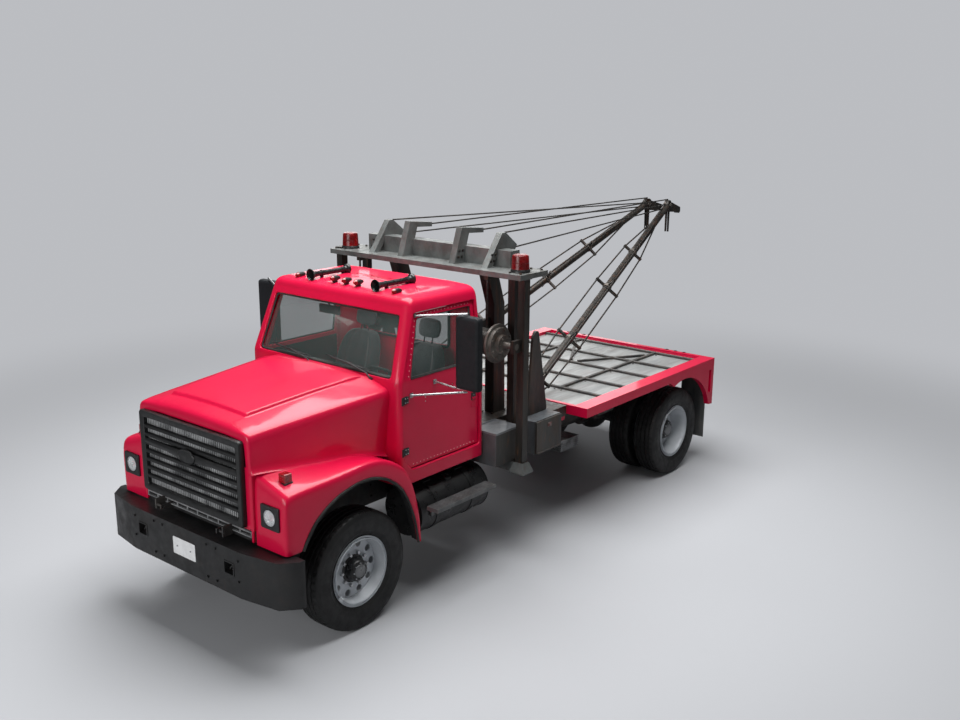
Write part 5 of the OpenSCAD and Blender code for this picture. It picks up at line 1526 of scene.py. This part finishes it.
def beacon_lens(b, side):
    sides, rows = 48, []
    for h, r in ((0.024, 0.078), (0.030, 0.0838), (0.060, 0.0822), (0.085, 0.0812), (0.088, 0.0794), (0.091, 0.0810),
                 (0.120, 0.0790), (0.145, 0.0775), (0.155, 0.074), (0.1605, 0.064), (0.1612, 0.03), (0.1612, 0.001)):
        ring = []
        for i, a in enumerate(around(sides)):
            reach = r * (1 - (0.02 if i % 2 and 0.03 < h < 0.15 else 0))
            ring.append((beacon_x + reach * math.cos(a), side * beacon_y + reach * math.sin(a), beacon_foot + h))
        rows.append(ring)
    skin(rows, closed=True, into=b)


def beacon_base(b, side):
    turned(b, [(0.0, 0.0), (0.0, 0.092), (0.014, 0.092), (0.022, 0.088), (0.030, 0.0845), (0.030, 0.0)],
           (beacon_x, side * beacon_y, beacon_foot), (0, 0, 1), 40)


beacon_red = finish("beacon lens", (0.150, 0.001, 0.002), 0.30, second=(0.040, 0.0008, 0.001), scale=14,
                    spread=(0.36, 0.66))
beacon_red.node_tree.nodes["Principled BSDF"].inputs["Emission Color"].default_value = (0.5, 0.004, 0.008, 1)
beacon_red.node_tree.nodes["Principled BSDF"].inputs["Emission Strength"].default_value = 0.06
settle("beacon_lenses", both_sides(beacon_lens), "chassis", beacon_red, ("beacons",), smooth=30)
settle("beacon_bases", both_sides(beacon_base), "chassis", charcoal, smooth=40)


# ---------- winches and ropes ----------
# Each winch is a set of turned discs on one shaft, with wire wound on its
# drum. The ropes are twisted strands, pinned at the gantry and boom head.
disc_steel = finish("winch steel", (0.150, 0.135, 0.120), 0.45, metal=0.35, second=(0.070, 0.064, 0.058), scale=6,
                    rust=0.5,
                    dust=0.15, bump=0.3)
wire = finish("wire rope", (0.070, 0.067, 0.062), 0.42, metal=0.5, second=(0.022, 0.021, 0.020), scale=30, rust=0.3)


def twisted(b, start, end, radius, strands=5, lay=0.11, steps=8, sides=5):
    """Wire strands laid round each other from one point to another."""
    start, end = Vector(start), Vector(end)
    along = (end - start).normalized()
    out = along.orthogonal().normalized()
    up = along.cross(out)
    length = (end - start).length
    count = max(8, int(length / lay * steps))
    for k in range(strands):
        path = []
        for i in range(count + 1):
            turn = 2 * math.pi * (length * i / count / lay + k / strands)
            path.append(start + along * length * i / count
                        + radius * 0.56 * (math.cos(turn) * out + math.sin(turn) * up))
        tube(b, path, radius * 0.46, sides)
    return b


winch_x, winch_z, rope_radius = -1.85, 2.13, 0.0082
boom_reach, boom_rise, boom_toe = 4.19, math.radians(23.3), math.radians(8.8)
for name, side in (("left", 1), ("right", -1)):
    drum_body = "winch_drum_" + name
    eased_copy(drum_body, drum_body, disc_steel, 0.003, 2)
    b = bmesh.new()
    laid = []
    for i in range(24 * 17 + 1):
        turn = 2 * math.pi * i / 24
        laid.append((winch_x + 0.117 * math.cos(turn), side * (0.672 + 0.0172 * i / 24),
                     winch_z + 0.117 * math.sin(turn)))
    tube(b, laid, rope_radius, 6)
    settle("drum_wire_" + name, b, drum_body, wire, smooth=60)
    bolts = []
    for a in around(8, 0.5):
        bolts.append(((winch_x + 0.135 * math.cos(a), side * 1.021, winch_z + 0.135 * math.sin(a)), (0, side, 0)))
    for a in around(6):
        bolts.append(((winch_x + 0.066 * math.cos(a), side * 1.061, winch_z + 0.066 * math.sin(a)), (0, side, 0)))
    place_instances("drum_bolts_" + name, bolts, 6, (0.011, 0.010, 0), disc_steel, drum_body)

    # The boom itself, its pins, and the three ropes that hold and serve it.
    boom_body = "boom_" + name
    eased_copy(boom_body, boom_body, old_steel, 0.003, 2)
    foot = Vector((-2.56, side * 0.74, 1.34))
    run = Vector((-math.cos(boom_rise) * math.cos(boom_toe), -side * math.cos(boom_rise) * math.sin(boom_toe),
                  math.sin(boom_rise)))
    head = foot + run * boom_reach
    front = head + Vector((math.cos(boom_toe), side * math.sin(boom_toe), 0)) * 0.06
    b = bmesh.new()
    twisted(b, (-2.245, side * 0.74, 3.105), front + Vector((0, 0, 0.008)), rope_radius)
    twisted(b, (-2.412, side * 0.74, 2.95), front - Vector((0, 0, 0.035)), rope_radius)
    twisted(b, (-2.39, side * 0.34, 3.083), head + Vector((0, 0, 0.0703)), rope_radius)
    settle("ropes_" + name, b, boom_body, wire, ("boom_lines_" + name,), smooth=60)
    b = bmesh.new()
    across = Vector((0, 0, 1)).cross(run).normalized()
    rod(b, head - across * 0.040, head + across * 0.040, 0.022, 18)
    for reach in (-0.044, 0.044):
        turned(b, [(-0.006, 0.0), (-0.006, 0.030), (0.006, 0.030), (0.006, 0.0)], head + across * reach, across, 6)
    for place in (0.42, 1.15, 2.2, 2.99):
        turned(b, [(-0.022, 0.0), (-0.022, 0.050), (0.022, 0.050), (0.022, 0.0)], foot + run * place, run, 24)
    settle("boom_collars_" + name, b, boom_body, disc_steel, smooth=35, bevel=0.002)
b = bmesh.new()
for side in (1, -1):
    twisted(b, (-1.86, side * 0.84, 2.266), (-1.86, side * 0.84, 2.735), 0.011, lay=0.10)
settle("winch_ropes", b, "chassis", wire, smooth=60)
b = bmesh.new()
for side in (1, -1):
    block(b, (-1.885, side * 0.815, 2.715), (-1.838, side * 0.865, 2.757))
block(b, (-2.03, -1.245, 2.80), (-1.90, -1.165, 2.815))
settle("rope_clamps", b, "chassis", old_steel, bevel=0.003)


# ---------- roof: horns and marker lamps ----------
# Two long dark air horns on short feet, and five small red bullet lamps set
# along the front of the roof.
horn_black = finish("horn lacquer", (0.010, 0.0105, 0.0115), 0.30)


horn_y, horn_z = 0.422, 2.748


def horn(b, side):
    turned(b, [(-1.300, 0.0), (-1.300, 0.040), (-1.296, 0.047), (-1.274, 0.047), (-1.268, 0.040), (-1.262, 0.030),
               (-1.250, 0.0255), (-1.100, 0.0245), (-0.940, 0.0245), (-0.900, 0.0255), (-0.870, 0.030), (-0.845, 0.041),
               (-0.826, 0.055), (-0.820, 0.0565), (-0.818, 0.0535), (-0.830, 0.046), (-0.850, 0.033), (-0.880, 0.022),
               (-0.910, 0.016), (-0.911, 0.0)], (0, side * horn_y, horn_z), (1, 0, 0), 40)
    for x in (-1.225, -0.955):
        turned(b, [(x - 0.009, 0.023), (x - 0.007, 0.029), (x + 0.007, 0.029), (x + 0.009, 0.023)],
               (0, side * horn_y, horn_z), (1, 0, 0), 32, closed=True)


settle("horn_bodies", both_sides(horn), "chassis", horn_black, smooth=50)


def horn_feet(b):
    gone = [f for f in b.faces for c in [f.calc_center_median() - Vector((FRONT_AXLE, 0, 0))]
            if c.z > 2.735 or min(abs(c.x + 1.23), abs(c.x + 0.96)) > 0.035]
    bmesh.ops.delete(b, geom=gone, context="FACES")


eased_copy("air_horns", "chassis", horn_black, 0.002, change=horn_feet)
marker_spots = [(-0.851, y, 2.742 - 0.022 * (abs(y) > 0.4)) for y in (0, 0.151, -0.151, 0.625, -0.625)]
b = bmesh.new()
for x, y, z in marker_spots:
    turned(b, [(0.0, 0.0), (0.0, 0.026), (0.006, 0.027), (0.050, 0.024), (0.080, 0.015), (0.092, 0.0)], (x, y, z),
           (-1, 0, 0), 24)
    block(b, (x - 0.045, y - 0.014, z - 0.045), (x - 0.005, y + 0.014, z - 0.010))
settle("roof_lamp_bodies", b, "chassis", charcoal, smooth=40)
b = bmesh.new()
for x, y, z in marker_spots:
    turned(b, [(0.0, 0.0), (0.0, 0.0245), (0.010, 0.0235), (0.026, 0.013), (0.034, 0.004), (0.035, 0.0)], (x, y, z),
           (1, 0, 0), 24)
settle("roof_lamps", b, "chassis", lamp_red, smooth=50)


# ---------- door mirrors ----------
# Tall black housings on thin bright tube arms from each door, with a flat
# glass and a small round one set in the rear-facing side.
mirror_shell = finish("mirror shell", (0.014, 0.016, 0.0185), 0.62)
mirror_shell.node_tree.nodes["Principled BSDF"].inputs["Specular IOR Level"].default_value = 0.2
mirror_glass = finish("mirror glass", (0.55, 0.57, 0.58), 0.06, metal=0.95, rough_spread=0.02)


for name, side in (("left", 1), ("right", -1)):
    body = "door_" + name
    low, high = sorted((side * 1.180, side * 1.435))
    b = bmesh.new()
    outline = rounded([(0, low, 1.915), (0, high, 1.915), (0, high, 2.565), (0, low, 2.565)], 0.035, 6)
    rings = []
    for x, inset in ((-1.0735, 0.016), (-1.075, 0.010), (-1.075, 0.002), (-1.068, 0.0), (-1.035, 0.0), (-1.016, 0.006),
                     (-1.007, 0.018), (-1.005, 0.034)):
        middle = Vector((0, (low + high) / 2, 2.24))
        rings.append([(x, middle.y + (p.y - middle.y) * (1 - inset / 0.1275), 2.24 + (p.z - 2.24) * (1 - inset / 0.325))
                      for p in outline])
    skin(rings, closed=True, into=b)
    for ring in (rings[0], rings[-1]):
        b.faces.new([min(b.verts, key=lambda v: (v.co - Vector(p)).length) for p in ring])
    settle("mirror_housing_" + name, faced(b), body, mirror_shell, smooth=35)
    b = bmesh.new()
    pane = rounded([(0, low + 0.022, 1.94), (0, high - 0.022, 1.94), (0, high - 0.022, 2.54), (0, low + 0.022, 2.54)],
                   0.025, 5)
    b.faces.new([b.verts.new((-1.0752, p.y, p.z)) for p in pane])
    turned(b, [(0.0, 0.0), (0.0, 0.044), (0.004, 0.046), (0.010, 0.040), (0.014, 0.024), (0.0155, 0.0)],
           (-1.0752, (low + high) / 2, 2.02), (-1, 0, 0), 32)
    settle("mirror_glass_" + name, b, body, mirror_glass, smooth=50)

    def only_arms(b):
        gone = [f for f in b.faces for c in [f.calc_center_median()]
                if abs(c.y) > 1.1795 and -1.08 < c.x - FRONT_AXLE < -1.0]
        bmesh.ops.delete(b, geom=gone, context="FACES")

    eased_copy("mirror_" + name, body, bright, 0.001, name="mirror_arms_" + name, change=only_arms)
    spots = [((x, side * y, z), (0, side, 0)) for x, y, z in ((-0.70, 1.11, 1.88), (-1.00, 1.15, 1.94))]
    place_instances("mirror_bolts_" + name, [((x, y + side * 0.008, z + dz), f) for (x, y, z), f in spots
                                             for dz in (-0.018, 0.018)], 6, (0.005, 0.004, 0), bright, body)
